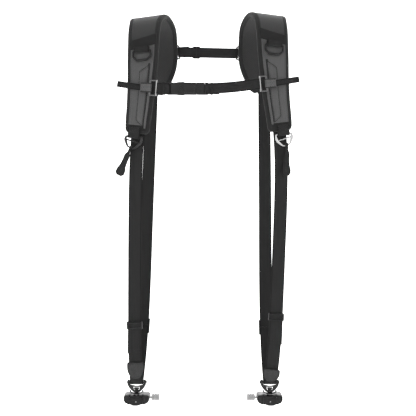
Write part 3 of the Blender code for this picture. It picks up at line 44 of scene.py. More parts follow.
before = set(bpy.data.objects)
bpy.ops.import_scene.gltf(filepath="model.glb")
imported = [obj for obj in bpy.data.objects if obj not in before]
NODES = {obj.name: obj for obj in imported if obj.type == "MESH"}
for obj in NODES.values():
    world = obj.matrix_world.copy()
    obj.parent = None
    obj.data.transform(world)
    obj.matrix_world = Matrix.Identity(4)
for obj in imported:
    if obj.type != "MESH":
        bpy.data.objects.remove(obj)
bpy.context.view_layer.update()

MM = 0.001
UV_NAME = "weave"
# Point attribute that marks the band along a strap's edges which is painted darker as painted shade
EDGE_SHADE_NAME = "selvedge"
HARNESS = "harness"

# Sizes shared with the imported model

CLEARANCE = 0.3 * MM
PAD_SEAT = 0.4 * MM
PAD_THICKNESS = 9.0 * MM
PAD_WIDTH = 66.5 * MM
PAD_HALF_DEPTH = 73.0 * MM
PAD_SPREAD = 110.5 * MM
FRONT_DROP = 221.0 * MM
REAR_DROP = 125.0 * MM
PAD_YAW = math.radians(11)
RIDGE_TILT = math.radians(4.7)
POCKET_THICKNESS = 1.6 * MM
FLAP_THICKNESS = 1.6 * MM
POCKET_END_GAP = 15.0 * MM
FLAP_LENGTH = 108.0 * MM
BAND_HEIGHT = 17.8 * MM
BAND_SLOPE = 0.2
D_RING_WIRE = 3.2 * MM
D_RING_FOOT_WIRE = 4.4 * MM
RING_SWELL = 1.0 * MM
# Inset and length of the lighter blocks on the jaws' top faces, a painted highlight
JAW_HIGHLIGHT_INSET = 2.6 * MM
JAW_HIGHLIGHT_LENGTH = 8.5 * MM
LEG_SWELL = 0.7 * MM
WEB_FOOT = 2.4 * MM
WEB_TOP = 0.24
WEB_DIP = 3.2 * MM
WEB_NOTCH = 8.5 * MM
WEB_GAP = 5.9 * MM
# Radius of the bright bar in front of each chest loop: a painted highlight on its wire
BAR_HIGHLIGHT_RADIUS = 0.8 * MM
D_RING_WIDTH = 36.0 * MM
D_RING_HEIGHT = 20.5 * MM
D_RING_BELOW_BAND = 8.0 * MM
D_RING_CORNER = 1.8 * MM
D_TAB_THICKNESS = 1.3 * MM
D_RING_SLOPE = math.radians(5)
WEBBING_THICKNESS = 1.6 * MM
MAIN_WEBBING = 25.0 * MM
CHEST_WEBBING = 19.2 * MM
NARROW_WEBBING = 11.0 * MM
THIN_WEBBING = 1.3 * MM
CHEST_LOOP_WIRE = 2.4 * MM
CHEST_LOOP_WIDTH = 15.0 * MM
CHEST_LOOP_HEIGHT = 29.0 * MM
CORNER_ROUND = 2.2 * MM
CHEST_TAB_LENGTH = 17.0 * MM
CHEST_TAB_HEIGHT = 17.0 * MM
CHEST_LOOP_OFFSET = 25.7 * MM
ANCHOR_TAIL = 17.0 * MM
ANCHOR_SLOPE = 0.10
ANCHOR_GAP = 1.0 * MM
BUCKLE_CENTRE = -46.9 * MM
BUCKLE_FRONT = -97.0 * MM
BUCKLE_LENGTH = 52.4 * MM
BUCKLE_HEIGHT = 21.5 * MM
BUCKLE_THICKNESS = 9.0 * MM
BUCKLE_SLOT = 3.4 * MM
BUCKLE_BAR = 3.0 * MM
BUCKLE_BAR_THICKNESS = 3.4 * MM
BUCKLE_SAG = 1.6 * MM
PLUG_LENGTH = 20.7 * MM
CHEST_LAP = 22.0 * MM
CHEST_SAG = 1.5 * MM
BACK_STRAP_DROP = 53.6 * MM
BACK_WEBBING = 20.0 * MM
BACK_CLIP_WIDTH = 12.0 * MM
BACK_CLIP_HEIGHT = 28.5 * MM
BACK_CLIP_WIRE = 3.0 * MM
BACK_TAB_LENGTH = 34.0 * MM
BACK_LAP = 20.0 * MM
STRAP_LEAD = 7.0 * MM
TAIL_EASE = 0.3 * MM
TAIL_SHIFT = 1.4 * MM
SWAY_SCALE = 6.75
SLIDER_STRAIGHT = 1.3
FRONT_SLIDER_HEIGHT = 13.0 * MM
REAR_SLIDER_HEIGHT = 28.0 * MM
PAD_RING_WIRE = 3.0 * MM
PAD_RING_WIDTH = 33.0 * MM
PAD_RING_HEIGHT = 24.0 * MM
PAD_RING_BELOW = 6.0 * MM
PAD_RING_DEPTH = 7.6 * MM
PAD_RING_OFFSET = 5.0 * MM
PAD_RING_TILT = math.radians(12)
RING_WEBBING = 23.0 * MM
RING_WEBBING_LAP = 11.0 * MM
LANYARD_LENGTH = 56.0 * MM
LANYARD_WIDTH = 10.5 * MM
LANYARD_EYE_WIDTH = 17.0 * MM
LANYARD_NECK = 4.8 * MM
LANYARD_SLACK = 0.9 * MM
LANYARD_THICKNESS = 1.8 * MM
EYE_LENGTH = 7.5 * MM
EYE_WIDTH = 2.8 * MM
PIN_HEIGHT = -697.6 * MM
PIN_RADIUS = 2.4 * MM
PIN_HEAD_RADIUS = 3.1 * MM
PIN_HEAD_LENGTH = 1.6 * MM
SHACKLE_WIRE = 4.2 * MM
SHACKLE_DROP = 17.6 * MM
EYE_OFFSET = 15.4 * MM
EYE_THICKNESS = 4.0 * MM
EYE_RADIUS = 4.4 * MM
YOKE_BASE_DROP = 4.0 * MM
BOSS_HEIGHT = 1.9 * MM
PLATE_THICKNESS = 3.2 * MM
CLAMP_DEPTH = 32.0 * MM
CLAMP_HALF_LENGTH = 25.0 * MM
CLAMP_FIXED_LENGTH = 23.3 * MM
JAW_RISE = 4.8 * MM
JAW_SPLIT = 12.8 * MM
CLAMP_BODY_HEIGHT = 12.0 * MM
BASE_RADIUS = 9.0 * MM
BASE_HEIGHT = 4.3 * MM
BASE_SHIFT = 2.0 * MM
BOSS_RADIUS = 5.0 * MM
KNOB_DROP = 2.1 * MM
KNOB_RADIUS = 6.4 * MM
KNOB_LENGTH = 15.0 * MM
KNOB_GAP = 3.8 * MM
SHAFT_RADIUS = 2.0 * MM
SHAFT_DEPTH = 8.0 * MM
TAB_WIDTH = 32.0 * MM
TAB_DOME = 0.4 * MM

PadStation = namedtuple("PadStation", "reach drop spread width")
FRONT_STATIONS = [PadStation(*row) for row in (
    (-0.904, 1.000, 1.163, 0.677),
    (-0.945, 0.905, 1.149, 0.700),
    (-0.980, 0.747, 1.113, 0.744),
    (-1.000, 0.575, 1.086, 0.797),
    (-0.993, 0.407, 1.068, 0.857),
    (-0.945, 0.271, 1.059, 0.880),
    (-0.836, 0.163, 1.054, 0.902),
    (-0.630, 0.077, 1.041, 0.932),
    (-0.342, 0.025, 1.023, 1.020),
    (0.000, 0.000, 0.995, 1.090),
)]
REAR_STATIONS = [PadStation(*row) for row in (
    (0.342, 0.040, 0.934, 1.100),
    (0.644, 0.120, 0.887, 1.080),
    (0.849, 0.256, 0.847, 0.970),
    (0.959, 0.416, 0.824, 0.902),
    (1.000, 0.600, 0.840, 0.860),
    (0.980, 0.800, 0.905, 0.780),
    (0.932, 1.000, 1.005, 0.680),
)]
APEX = len(FRONT_STATIONS) - 1
LAST_STATION = len(FRONT_STATIONS) + len(REAR_STATIONS) - 1

BowPoint = namedtuple("BowPoint", "across down")
SHACKLE_BOW = [BowPoint(*row) for row in (
    (1.00, 0.02), (0.97, 0.25), (0.80, 0.50), (0.58, 0.73), (0.39, 0.92), (0.25, 1.00),
)]

TabPoint = namedtuple("TabPoint", "across up")
TAB_OUTLINE = [TabPoint(*row) for row in (
    (0.00, 0.00), (0.40, 0.03), (0.70, 0.20), (0.92, 0.42), (1.00, 0.62), (0.98, 0.92), (0.88, 1.00),
)]

Side = namedtuple(
    "Side",
    "name sign lift flare band_drop flap_drop anchor_drop hang front_bow rear_bow rear_sway"
    " slider_share tail_share rear_slider_share tab_share tab_end_share lanyard_lean",
)
SIDES = (
    Side(
        "left", -1, -0.0249 * FRONT_DROP, 0.0, 0.2217 * FRONT_DROP, 0.448 * FRONT_DROP,
        0.6308 * FRONT_DROP, 1.2398 * PAD_SPREAD,
        0.172 * MAIN_WEBBING, -0.136 * MAIN_WEBBING, 0.108 * MAIN_WEBBING,
        0.758, 0.875, 0.809, 0.912, 0.985, math.radians(26),
    ),
    Side(
        "right", 1, -0.0045 * FRONT_DROP, 0.0226 * PAD_SPREAD, 0.1959 * FRONT_DROP, 0.4344 * FRONT_DROP,
        0.6163 * FRONT_DROP, 1.0724 * PAD_SPREAD,
        0.28 * MAIN_WEBBING, -0.128 * MAIN_WEBBING, 0.1 * MAIN_WEBBING,
        0.726, 0.838, 0.817, 0.942, 0.995, math.radians(0),
    ),
)

# Sizes of the visible details only

EDGE_ROUND = 8.0 * MM
EDGE_MIDDLE = 3.9 * MM
EDGE_TOP = 8.1 * MM
EDGE_POWER = 2.6
PAD_ROW = 4.5 * MM
PAD_COLUMNS = 15
BINDING_LIFT = 0.45 * MM
BINDING_REACH = 7.6 * MM
SEAM_INSET = 6.2 * MM
# Width of the band along each edge of a strap that is painted darker as painted shade
EDGE_SHADE_WIDTH = 2.0 * MM
EDGE_STEPS = [0, 0.6 * MM, 1.7 * MM, 3.2 * MM, 5.4 * MM]
BINDING_SHARES = (1.0, 0.72, 0.45, 0.2, 0.06)
PANEL_INSET = 6.8 * MM
PANEL_END = 5.5 * MM
BAND_GAPS = (4 * MM, 7 * MM)
END_PATCH_INSET = 6.6 * MM
FLAP_SLANTS = (9 * MM, 12 * MM)
ZIP_LIFT = 1.8 * MM
SINK = 0.4 * MM
BAND_LIFT = 1.5 * MM
POCKET_LIFT = 1.4 * MM
FLAP_LIFT = 2.7 * MM
ZIP_SHARE = -0.66
FLAP_SEAM_SHARE = 0.16
ZIP_HALF_WIDTH = 2.4 * MM
# Lift and radius of the dark cord round the flap: a painted shadow line under its raised edge
FLAP_SHADOW_LIFT = 1.7 * MM
FLAP_SHADOW_RADIUS = 0.75 * MM
STITCH_ROW = (-11 * MM, -4 * MM, 4 * MM, 11 * MM)
CHEST_ROW = (-8 * MM, -3 * MM, 3 * MM, 8 * MM)
CHEST_ROW_GAP = 2.2 * MM
TAB_SEAMS = (3.4 * MM, 5.6 * MM)
TAIL_SEAMS = (2.5 * MM, 8 * MM)
KEEPER_OVERLAP = 0.9 * MM
FOLD_SHARE = 0.49
FOLD_LIFT = 1.5 * MM
FOLD_EDGE = 1.1 * MM
WEB_EDGE = (1.1 * MM, 1.4 * MM)
SLEEVE = 0.35 * MM


def settings():
    return bpy.context.scene.harness_sizes


def colours():
    return bpy.context.scene.harness_colours


# Vectors and paths


def lerp(start, end, share):
    return start + (end - start) * share


def turns(count):
    """Angles that share out a full turn."""
    return [2 * math.pi * k / count for k in range(count)]


def spline(values, position):
    """Catmull-Rom value at a position counted in rows of the list."""
    last = len(values) - 1
    index = min(max(int(position), 0), last - 1)
    share = position - index
    p1 = values[index]
    p2 = values[index + 1]
    p0 = values[index - 1] if index > 0 else p1 + (p1 - p2)
    p3 = values[index + 2] if index + 2 <= last else p2 + (p2 - p1)
    bend = (p0 * 2 - p1 * 5 + p2 * 4 - p3) * share**2
    twist = (p1 * 3 - p0 - p2 * 3 + p3) * share**3
    return (p1 * 2 + (p2 - p0) * share + bend + twist) * 0.5


def smooth_points(points, steps):
    count = (len(points) - 1) * steps
    return [spline(points, i / steps) for i in range(count + 1)]


def rounded_outline(corners, radius, steps=7):
    """A closed outline with each corner replaced by a curve that starts a radius away from it."""
    outline = []
    count = len(corners)
    for i, corner in enumerate(corners):
        before = (corners[i - 1] - corner).normalized() * radius
        after = (corners[(i + 1) % count] - corner).normalized() * radius
        for step in range(steps + 1):
            share = step / steps
            outline.append(corner + before * (1 - share) ** 2 + after * share**2)
    return outline


def hairpin(bar, radius, toward, face, first_lap, last_lap, steps=14):
    """A path that runs up to a bar on the face side, round it, and back on the other side."""
    points = [bar - toward * first_lap * share + face * radius for share in (1, 0.66, 0.33)]
    for step in range(steps + 1):
        angle = math.pi / 2 - math.pi * step / steps
        points.append(bar + (toward * math.cos(angle) + face * math.sin(angle)) * radius)
    points += [bar - toward * last_lap * share - face * radius for share in (0.33, 0.66, 1)]
    return points


class Frame:
    """A point with three unit directions: across (outwards), out (away from the body), up."""

    def __init__(self, point, across, out, up):
        self.point = point
        self.across = across
        self.out = out
        self.up = up

    def at(self, across, out, up):
        return self.point + self.across * across + self.out * out + self.up * up

    def moved(self, across, out, up):
        return Frame(self.at(across, out, up), self.across, self.out, self.up)

    def rolled(self, angle):
        """Turned in its own plane, so that up leans towards across."""
        across = self.across * math.cos(angle) - self.up * math.sin(angle)
        up = self.up * math.cos(angle) + self.across * math.sin(angle)
        return Frame(self.point, across, self.out, up)


def mirrored(side, vector):
    return Vector((side.sign * vector.x, vector.y, vector.z))


# The pad's own surface


def station_points(side):
    """Middle line of the pad's inner face, from the front end over the shoulder to the rear end."""
    points = []
    for rows, drop in ((FRONT_STATIONS, FRONT_DROP), (REAR_STATIONS, REAR_DROP)):
        for row in rows:
            flare = side.flare * row.drop**2 if row.reach < 0 else 0
            points.append(Vector((
                row.spread * PAD_SPREAD + flare,
                row.reach * PAD_HALF_DEPTH,
                side.lift - row.drop * drop,
            )))
    return points


STATIONS = {side.name: station_points(side) for side in SIDES}
WIDTH_SHARES = [row.width for row in FRONT_STATIONS + REAR_STATIONS]


def pad_width(position):
    return spline(WIDTH_SHARES, position) * PAD_WIDTH


def pad_frame(side, position):
    """Frame on the pad's inner face; its up direction runs along the pad from front to rear."""
    points = STATIONS[side.name]
    low = max(position - 0.05, 0)
    high = min(position + 0.05, LAST_STATION)
    along = (spline(points, high) - spline(points, low)).normalized()
    across = Vector((math.cos(PAD_YAW), math.sin(PAD_YAW), -math.tan(RIDGE_TILT)))
    across = (across - along * across.dot(along)).normalized()
    return Frame(spline(points, position), across, across.cross(along), along)


def position_at(side, drop, rear=False):
    """Position along the pad whose middle line lies a given drop below its top."""
    points = STATIONS[side.name]
    low, high = (LAST_STATION, APEX) if rear else (0, APEX)
    for _ in range(30):
        middle = (low + high) / 2
        if side.lift - spline(points, middle).z > drop:
            low = middle
        else:
            high = middle
    return (low + high) / 2


def edge_inset(inset, end_distance):
    """Distance to the pad's rounded outline from how far a point is from its side and its end."""
    side_part = max(EDGE_ROUND - inset, 0)
    end_part = max(EDGE_ROUND - end_distance, 0)
    return max(EDGE_ROUND - math.hypot(side_part, end_part), 0)


def bullnose(inset):
    """Share of the full height that the rounded edge has at a distance from the outline."""
    share = 1 - min(inset / EDGE_ROUND, 1)
    return max(1 - share**EDGE_POWER, 0) ** (1 / EDGE_POWER)


def edge_lift(share, outer):
    """Height over the inner face of the rounded edge, on its outer or its inner side."""
    return lerp(EDGE_MIDDLE, EDGE_TOP if outer else 0, share)


class PadSkin:
    """The swollen pad: a grid of points on its outer and inner faces, and the way between them."""

    def __init__(self, side):
        self.side = side
        samples = 480
        points = STATIONS[side.name]
        self.positions = [LAST_STATION * i / samples for i in range(samples + 1)]
        path = [spline(points, p) for p in self.positions]
        steps = [(b - a).length for a, b in zip(path, path[1:])]
        self.distances = np.concatenate([[0], np.cumsum(steps)])
        self.length = float(self.distances[-1])
        count = round((self.length - 2 * EDGE_ROUND) / PAD_ROW)
        middle = list(np.linspace(EDGE_ROUND, self.length - EDGE_ROUND, count + 1))
        self.rows = EDGE_STEPS + middle + [self.length - e for e in reversed(EDGE_STEPS)]
        self.outer = self.face(True)
        self.inner = self.face(False)

    def position(self, distance):
        return float(np.interp(distance, self.distances, self.positions))

    def distance(self, position):
        return float(np.interp(position, self.positions, self.distances))

    def distance_at(self, drop, rear=False):
        return self.distance(position_at(self.side, drop, rear))

    def half(self, distance, inset=0.0):
        return pad_width(self.position(distance)) / 2 - inset

    def columns(self, distance):
        """Offsets across the pad at a row, drawn in where its corners are rounded."""
        end = min(distance, self.length - distance)
        full = self.half(distance)
        short = max(EDGE_ROUND - end, 0)
        half = full - EDGE_ROUND + math.sqrt(max(EDGE_ROUND**2 - short**2, 0))
        inner = half - EDGE_ROUND
        left = [e - half for e in EDGE_STEPS]
        middle = [inner * s for s in np.linspace(-1, 1, PAD_COLUMNS)]
        return left + middle + [half - e for e in reversed(EDGE_STEPS)]

    def face(self, outer):
        grid = []
        for distance in self.rows:
            base = pad_frame(self.side, self.position(distance))
            end = min(distance, self.length - distance)
            full = self.half(distance)
            row = []
            for across in self.columns(distance):
                share = bullnose(edge_inset(full - abs(across), end))
                row.append(base.at(across, edge_lift(share, outer), 0))
            grid.append(row)
        return np.array([[tuple(p) for p in row] for row in grid])

    def at(self, distance, across, lift):
        """Point over the outer face, by its distance along and offset across the pad."""
        row = float(np.interp(distance, self.rows, range(len(self.rows))))
        low = min(int(row), len(self.rows) - 2)
        near = self.sample(low, across)
        far = self.sample(low + 1, across)
        point = Vector(near + (far - near) * (row - low))
        return point + self.out(distance) * lift

    def sample(self, row, across):
        offsets = self.columns(self.rows[row])
        place = float(np.interp(across, offsets, range(len(offsets))))
        low = min(int(place), len(offsets) - 2)
        line = self.outer[row]
        return line[low] + (line[low + 1] - line[low]) * (place - low)

    def out(self, distance):
        return pad_frame(self.side, self.position(distance)).out


# Meshes

SEAMS = {}


SMOOTH_ANGLE = math.radians(38)


def linked(name, data):
    """A new object for the given data, in the scene's own collection."""
    obj = bpy.data.objects.new(name, data)
    bpy.context.scene.collection.objects.link(obj)
    return obj


def new_object(name, bm):
    bmesh.ops.recalc_face_normals(bm, faces=bm.faces)
    mesh = bpy.data.meshes.new(name)
    bm.to_mesh(mesh)
    bm.free()
    mesh.shade_smooth()
    mesh.set_sharp_from_angle(angle=SMOOTH_ANGLE)
    return linked(name, mesh)


def solid(name, points, faces, side=None, uvs=None, edge_shades=None):
    """A mesh object from points and faces, mirrored to its side, with a UV map in real metres.

    The name of the side goes before the name of the piece.
    edge_shades is 1 where a point lies in the band along a strap's edge that the material paints darker as
    painted shade, and 0 elsewhere.
    """
    if side:
        name = f"{side.name}_{name}"
    bm = bmesh.new()
    edge_shade_layer = bm.verts.layers.float.new(EDGE_SHADE_NAME)
    sign = side.sign if side else 1
    verts = [bm.verts.new((p[0] * sign, p[1], p[2])) for p in points]
    for face in faces:
        bm.faces.new([verts[i] for i in face])
    if uvs:
        bm.verts.index_update()
        layer = bm.loops.layers.uv.new(UV_NAME)
        for face in bm.faces:
            for loop in face.loops:
                loop[layer].uv = uvs[loop.vert.index]
    # Mark the points that the material darkens as painted shade along a strap's edges
    if edge_shades:
        for vert, value in zip(verts, edge_shades):
            vert[edge_shade_layer] = value
    return new_object(name, bm)


def grid_faces(rows, columns, offset=0, wrap=False):
    faces = []
    last = columns if wrap else columns - 1
    for i in range(rows - 1):
        low = offset + i * columns
        high = low + columns
        for j in range(last):
            k = (j + 1) % columns
            faces.append((low + j, low + k, high + k, high + j))
    return faces


def ring_skin(name, rings, side=None, closed=False, uvs=None, edge_shades=None):
    """A closed skin through equal rings of points, capped at both ends unless it runs round."""
    count = len(rings[0])
    points = [p for ring in rings for p in ring]
    faces = grid_faces(len(rings), count, wrap=True)
    last = (len(rings) - 1) * count
    if closed:
        for j in range(count):
            k = (j + 1) % count
            faces.append((last + j, last + k, k, j))
    else:
        faces.append(tuple(range(count)))
        faces.append(tuple(last + j for j in reversed(range(count))))
    return solid(name, points, faces, side, uvs, edge_shades)


def tube(name, points, normals, radius, closed, side=None, sides=18):
    """Round wire or cord along a path; normals and radius are one value, or one for each point."""
    rings = []
    count = len(points)
    for i, point in enumerate(points):
        before = points[i - 1] if closed or i > 0 else point
        after = points[(i + 1) % count] if closed or i < count - 1 else point
        normal = normals[i] if isinstance(normals, list) else normals
        inward = normal.cross((after - before).normalized()).normalized()
        thick = radius[i] if isinstance(radius, list) else radius
        rings.append([
            point + (inward * math.cos(a) + normal * math.sin(a)) * thick
            for a in turns(sides)
        ])
    return ring_skin(name, rings, side, closed)


def turned(name, profile, origin, axis, side=None, sides=40, teeth=0.0):
    """A round piece from rows of distance and radius, with a third item where its teeth are cut."""
    first = axis.orthogonal().normalized()
    second = axis.cross(first)
    rings = []
    for distance, radius, *toothed in profile:
        ring = []
        for k, angle in enumerate(turns(sides)):
            spoke = first * math.cos(angle) + second * math.sin(angle)
            groove = teeth if toothed and k % 2 else 0
            ring.append(origin + axis * distance + spoke * (radius - groove))
        rings.append(ring)
    return ring_skin(name, rings, side)


def strap(name, points, across, thickness, widths, side=None, crown=0.12):
    """Woven webbing along a path, with rounded edges, a band along each edge painted darker as painted
    shade, and a UV map of width and length.
    """
    rings = []
    uvs = []
    edge_shades = []
    last = len(points) - 1
    travelled = 0.0
    half_thick = thickness / 2
    for i, point in enumerate(points):
        along = (points[min(i + 1, last)] - points[max(i - 1, 0)]).normalized()
        wide = across[i] if isinstance(across, list) else across
        wide = (wide - along * wide.dot(along)).normalized()
        half = (widths[i] if isinstance(widths, list) else widths) / 2
        thick = wide.cross(along) * half_thick
        if i:
            travelled += (point - points[i - 1]).length
        flat = half - half_thick
        section = [(-half, 0.0), (-half + 0.3 * half_thick, 0.72), (-flat, 1 - crown)]
        band = half - min(EDGE_SHADE_WIDTH, 0.3 * half)
        section += [(-band, 0.99), (0.1 * MM - band, 1.0)]
        section += [(flat * s, 1.0) for s in (-0.5, 0.0, 0.5)]
        section += [(band - 0.1 * MM, 1.0), (band, 0.99)]
        section += [(flat, 1 - crown), (half - 0.3 * half_thick, 0.72), (half, 0.0)]
        section += [(a, -t) for a, t in reversed(section[1:-1])]
        rings.append([point + wide * a + thick * t for a, t in section])
        uvs += [(a, travelled) for a, _ in section]
        # Points in the edge bands get 1: the material paints them darker as painted shade on the rounded
        # edges
        edge_shades += [1.0 if abs(a) >= band else 0.0 for a, _ in section]
    return ring_skin(name, rings, side, uvs=uvs, edge_shades=edge_shades)


def panel(name, skin, place, rows, columns, low, high, edge=0.45 * MM):
    """A thin sewn sheet on the pad. place(v, u) gives distance along and offset across.

    low is the lift of its underside and high that of its top; its border is turned down by edge.
    """
    tops = []
    bottoms = []
    uvs = []
    ease_v = [0, 0.02, 0.05] + list(np.linspace(0, 1, rows))[1:-1] + [0.95, 0.98, 1]
    ease_u = [0, 0.03, 0.08] + list(np.linspace(0, 1, columns))[1:-1] + [0.92, 0.97, 1]
    ease_v = sorted(set(round(v, 5) for v in ease_v))
    ease_u = sorted(set(round(u, 5) for u in ease_u))
    for v in ease_v:
        for u in ease_u:
            distance, across = place(v, u)
            border = v in (0, 1) or u in (0, 1)
            tops.append(skin.at(distance, across, high - (edge if border else 0)))
            bottoms.append(skin.at(distance, across, low))
            uvs.append((across, distance))
    nv, nu = len(ease_v), len(ease_u)
    count = nv * nu
    faces = grid_faces(nv, nu) + [tuple(reversed(f)) for f in grid_faces(nv, nu, count)]
    rim = list(range(nu))
    rim += [i * nu + nu - 1 for i in range(1, nv)]
    rim += [(nv - 1) * nu + j for j in range(nu - 2, -1, -1)]
    rim += [i * nu for i in range(nv - 2, 0, -1)]
    for a, b in zip(rim, rim[1:] + rim[:1]):
        faces.append((a, b, b + count, a + count))
    return solid(name, tops + bottoms, faces, skin.side, uvs + uvs)


def baked(obj):
    """The object's evaluated shape as its own plain mesh, with no modifiers left."""
    bpy.context.view_layer.update()
    graph = bpy.context.evaluated_depsgraph_get()
    mesh = bpy.data.meshes.new_from_object(obj.evaluated_get(graph), depsgraph=graph)
    obj.modifiers.clear()
    old = obj.data
    obj.data = mesh
    bpy.data.meshes.remove(old)
    return obj


def eased(name, node, width, segments=2):
    """A moulded or machined piece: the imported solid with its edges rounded."""
    bm = bmesh.new()
    bm.from_mesh(NODES[node].data)
    bmesh.ops.remove_doubles(bm, verts=bm.verts, dist=1e-6)
    bmesh.ops.dissolve_limit(bm, angle_limit=math.radians(1), verts=bm.verts, edges=bm.edges)
    obj = new_object(name, bm)
    bevel = obj.modifiers.new("Eased", "BEVEL")
    bevel.width = width
    bevel.segments = segments
    bevel.limit_method = "ANGLE"
    bevel.angle_limit = math.radians(32)
    bevel.use_clamp_overlap = True
    baked(obj)
    obj.data.set_sharp_from_angle(angle=SMOOTH_ANGLE)
    return obj


def finish(obj, material, body, slot, *nodes):
    """Give a piece its material, the body it moves with, and the nodes that it stands for, which it hides.
    The slot is not used.
    """
    obj.data.materials.clear()
    obj.data.materials.append(finishes()[material])
    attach(obj, body)
    if nodes:
        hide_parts(*nodes)


def seam(body, side, points, normals):
    """Keep a line of stitching for the stitches that are made at the end."""
    if not isinstance(normals, list):
        normals = [normals] * len(points)
    if side:
        points = [mirrored(side, p) for p in points]
        normals = [mirrored(side, n) for n in normals]
    SEAMS.setdefault(body, []).append((points, normals))


# Materials

MATH = "ShaderNodeMath"
NOISE = "ShaderNodeTexNoise"
STREAK_WIDTH = 2.4 * MM
STREAK_LENGTH = 60 * MM
HOLE_PITCH = 2.6 * MM
BLOTCH_SIZE = 12 * MM
GRAIN_CELL = 1.3 * MM


def linear(code):
    """An sRGB hex colour as linear values."""
    values = [int(code[i:i + 2], 16) / 255 for i in (1, 3, 5)]
    return tuple(v / 12.92 if v <= 0.04045 else ((v + 0.055) / 1.055) ** 2.4 for v in values)


def add_node(tree, kind, inputs=None, **options):
    """Add a node with its options; each input is a constant or the socket that feeds it."""
    made = tree.nodes.new(kind)
    for key, value in options.items():
        setattr(made, key, value)
    for key, value in (inputs or {}).items():
        if isinstance(value, bpy.types.NodeSocket):
            tree.links.new(value, made.inputs[key])
        else:
            made.inputs[key].default_value = value
    return made


def shader_of(name, roughness, metallic=0.0, **values):
    """A new material, its tree and its shader with the constant values set on it."""
    made = bpy.data.materials.new(name)
    made.use_nodes = True
    shader = made.node_tree.nodes["Principled BSDF"]
    shader.inputs["Roughness"].default_value = roughness
    shader.inputs["Metallic"].default_value = metallic
    for key, value in values.items():
        shader.inputs[key.replace("_", " ")].default_value = value
    return made, made.node_tree, shader


def blend(tree, *terms, start=0.0):
    """A start value plus a sum of patterns, each times its weight."""
    for pattern, weight in terms:
        start = add_node(
            tree, MATH, {0: pattern, 1: weight, 2: start}, operation="MULTIPLY_ADD",
        ).outputs[0]
    return start


def wave(tree, vector, axis, pitch):
    """A smooth ridge pattern from 0 to 1 along one coordinate, with a pitch in metres."""
    split = add_node(tree, "ShaderNodeSeparateXYZ", {"Vector": vector})
    phase = blend(tree, (split.outputs[axis], 2 * math.pi / pitch))
    return blend(tree, (add_node(tree, MATH, {0: phase}, operation="SINE").outputs[0], 0.5), start=0.5)


def two_tone(tree, shader, factor, colour, dark, light):
    """Mix a dark and a light shade of a colour by a factor into the shader's base colour."""
    low, high = ((*(min(c * amount, 1) for c in colour), 1) for amount in (dark, light))
    mix = add_node(tree, "ShaderNodeMix", {0: factor, 6: low, 7: high}, data_type="RGBA")
    tree.links.new(mix.outputs[2], shader.inputs["Base Color"])


def relief(tree, shader, height, depth):
    """Drive the shader's normal by a height pattern of a depth in metres."""
    bump = add_node(tree, "ShaderNodeBump", {"Strength": 1.0, "Distance": depth, "Height": height})
    tree.links.new(bump.outputs["Normal"], shader.inputs["Normal"])


def woven(name, colour, warp, weft, depth, contrast, roughness=0.85, streak=0.0, cross=0.0, sheen=0.08):
    """Woven cloth: warp and weft ridges in the piece's own UV map, fuzz, streaks along the warp, and painted
    shade along the edges of a strap.
    """
    made, tree, shader = shader_of(
        name, roughness, Sheen_Weight=sheen, Sheen_Roughness=0.5, Specular_IOR_Level=0.1,
    )
    uv = add_node(tree, "ShaderNodeUVMap", uv_map=UV_NAME).outputs[0]
    place = add_node(tree, "ShaderNodeTexCoord").outputs["Object"]
    split = add_node(tree, "ShaderNodeSeparateXYZ", {"Vector": uv})
    lean = add_node(tree, MATH, {0: split.outputs[0], 1: warp}, operation="PINGPONG").outputs[0]
    turn = 2 * math.pi / weft
    phase = blend(tree, (lean, turn), (split.outputs[1], turn), start=0.5)
    twill = add_node(tree, MATH, {0: phase}, operation="SINE").outputs[0]
    share = 0.25 + cross
    threads, picks = wave(tree, uv, 0, warp), wave(tree, uv, 1, weft)
    weave = blend(tree, (threads, 0.5), (twill, share), (picks, cross), start=share)
    stretch = add_node(
        tree, "ShaderNodeMapping", {"Vector": uv, "Scale": (1 / STREAK_WIDTH, 1 / STREAK_LENGTH, 1)},
    ).outputs[0]
    streaks = add_node(tree, NOISE, {"Vector": stretch, "Scale": 1.0, "Detail": 2.0}).outputs["Fac"]
    fuzz = add_node(tree, NOISE, {"Vector": place, "Scale": 900.0, "Detail": 3.0}).outputs["Fac"]
    # Painted shade: the points marked along a strap's edges are pulled towards the dark tone
    border = add_node(tree, "ShaderNodeAttribute", attribute_name=EDGE_SHADE_NAME).outputs["Fac"]
    shading = blend(tree, (weave, contrast), (fuzz, 0.35), (streaks, streak), (border, -1.0))
    two_tone(tree, shader, shading, colour, 0.35, 1.35)
    relief(tree, shader, blend(tree, (weave, 1.0), (fuzz, 0.3)), depth)
    return made


def air_mesh(name, colour):
    """Knitted spacer mesh: staggered holes about 3 mm apart, drawn a little coarser than real."""
    made, tree, shader = shader_of(name, 0.9, Sheen_Weight=0.08, Sheen_Roughness=0.6)
    uv = add_node(tree, "ShaderNodeUVMap", uv_map=UV_NAME).outputs[0]
    place = add_node(tree, "ShaderNodeTexCoord").outputs["Object"]
    turn = add_node(
        tree, "ShaderNodeMapping", {"Vector": uv, "Rotation": (0, 0, math.radians(45))},
    ).outputs[0]
    waves = {axis: wave(tree, turn, axis, HOLE_PITCH) for axis in (0, 1)}
    holes = add_node(tree, MATH, waves, operation="MULTIPLY").outputs[0]
    holes = add_node(tree, MATH, {0: holes, 1: 0.6}, operation="POWER").outputs[0]
    fuzz = add_node(tree, NOISE, {"Vector": place, "Scale": 700.0, "Detail": 2.0}).outputs["Fac"]
    height = blend(tree, (holes, 1.0), (fuzz, 0.25))
    two_tone(tree, shader, height, colour, 0.35, 1.5)
    relief(tree, shader, height, 0.5 * MM)
    return made


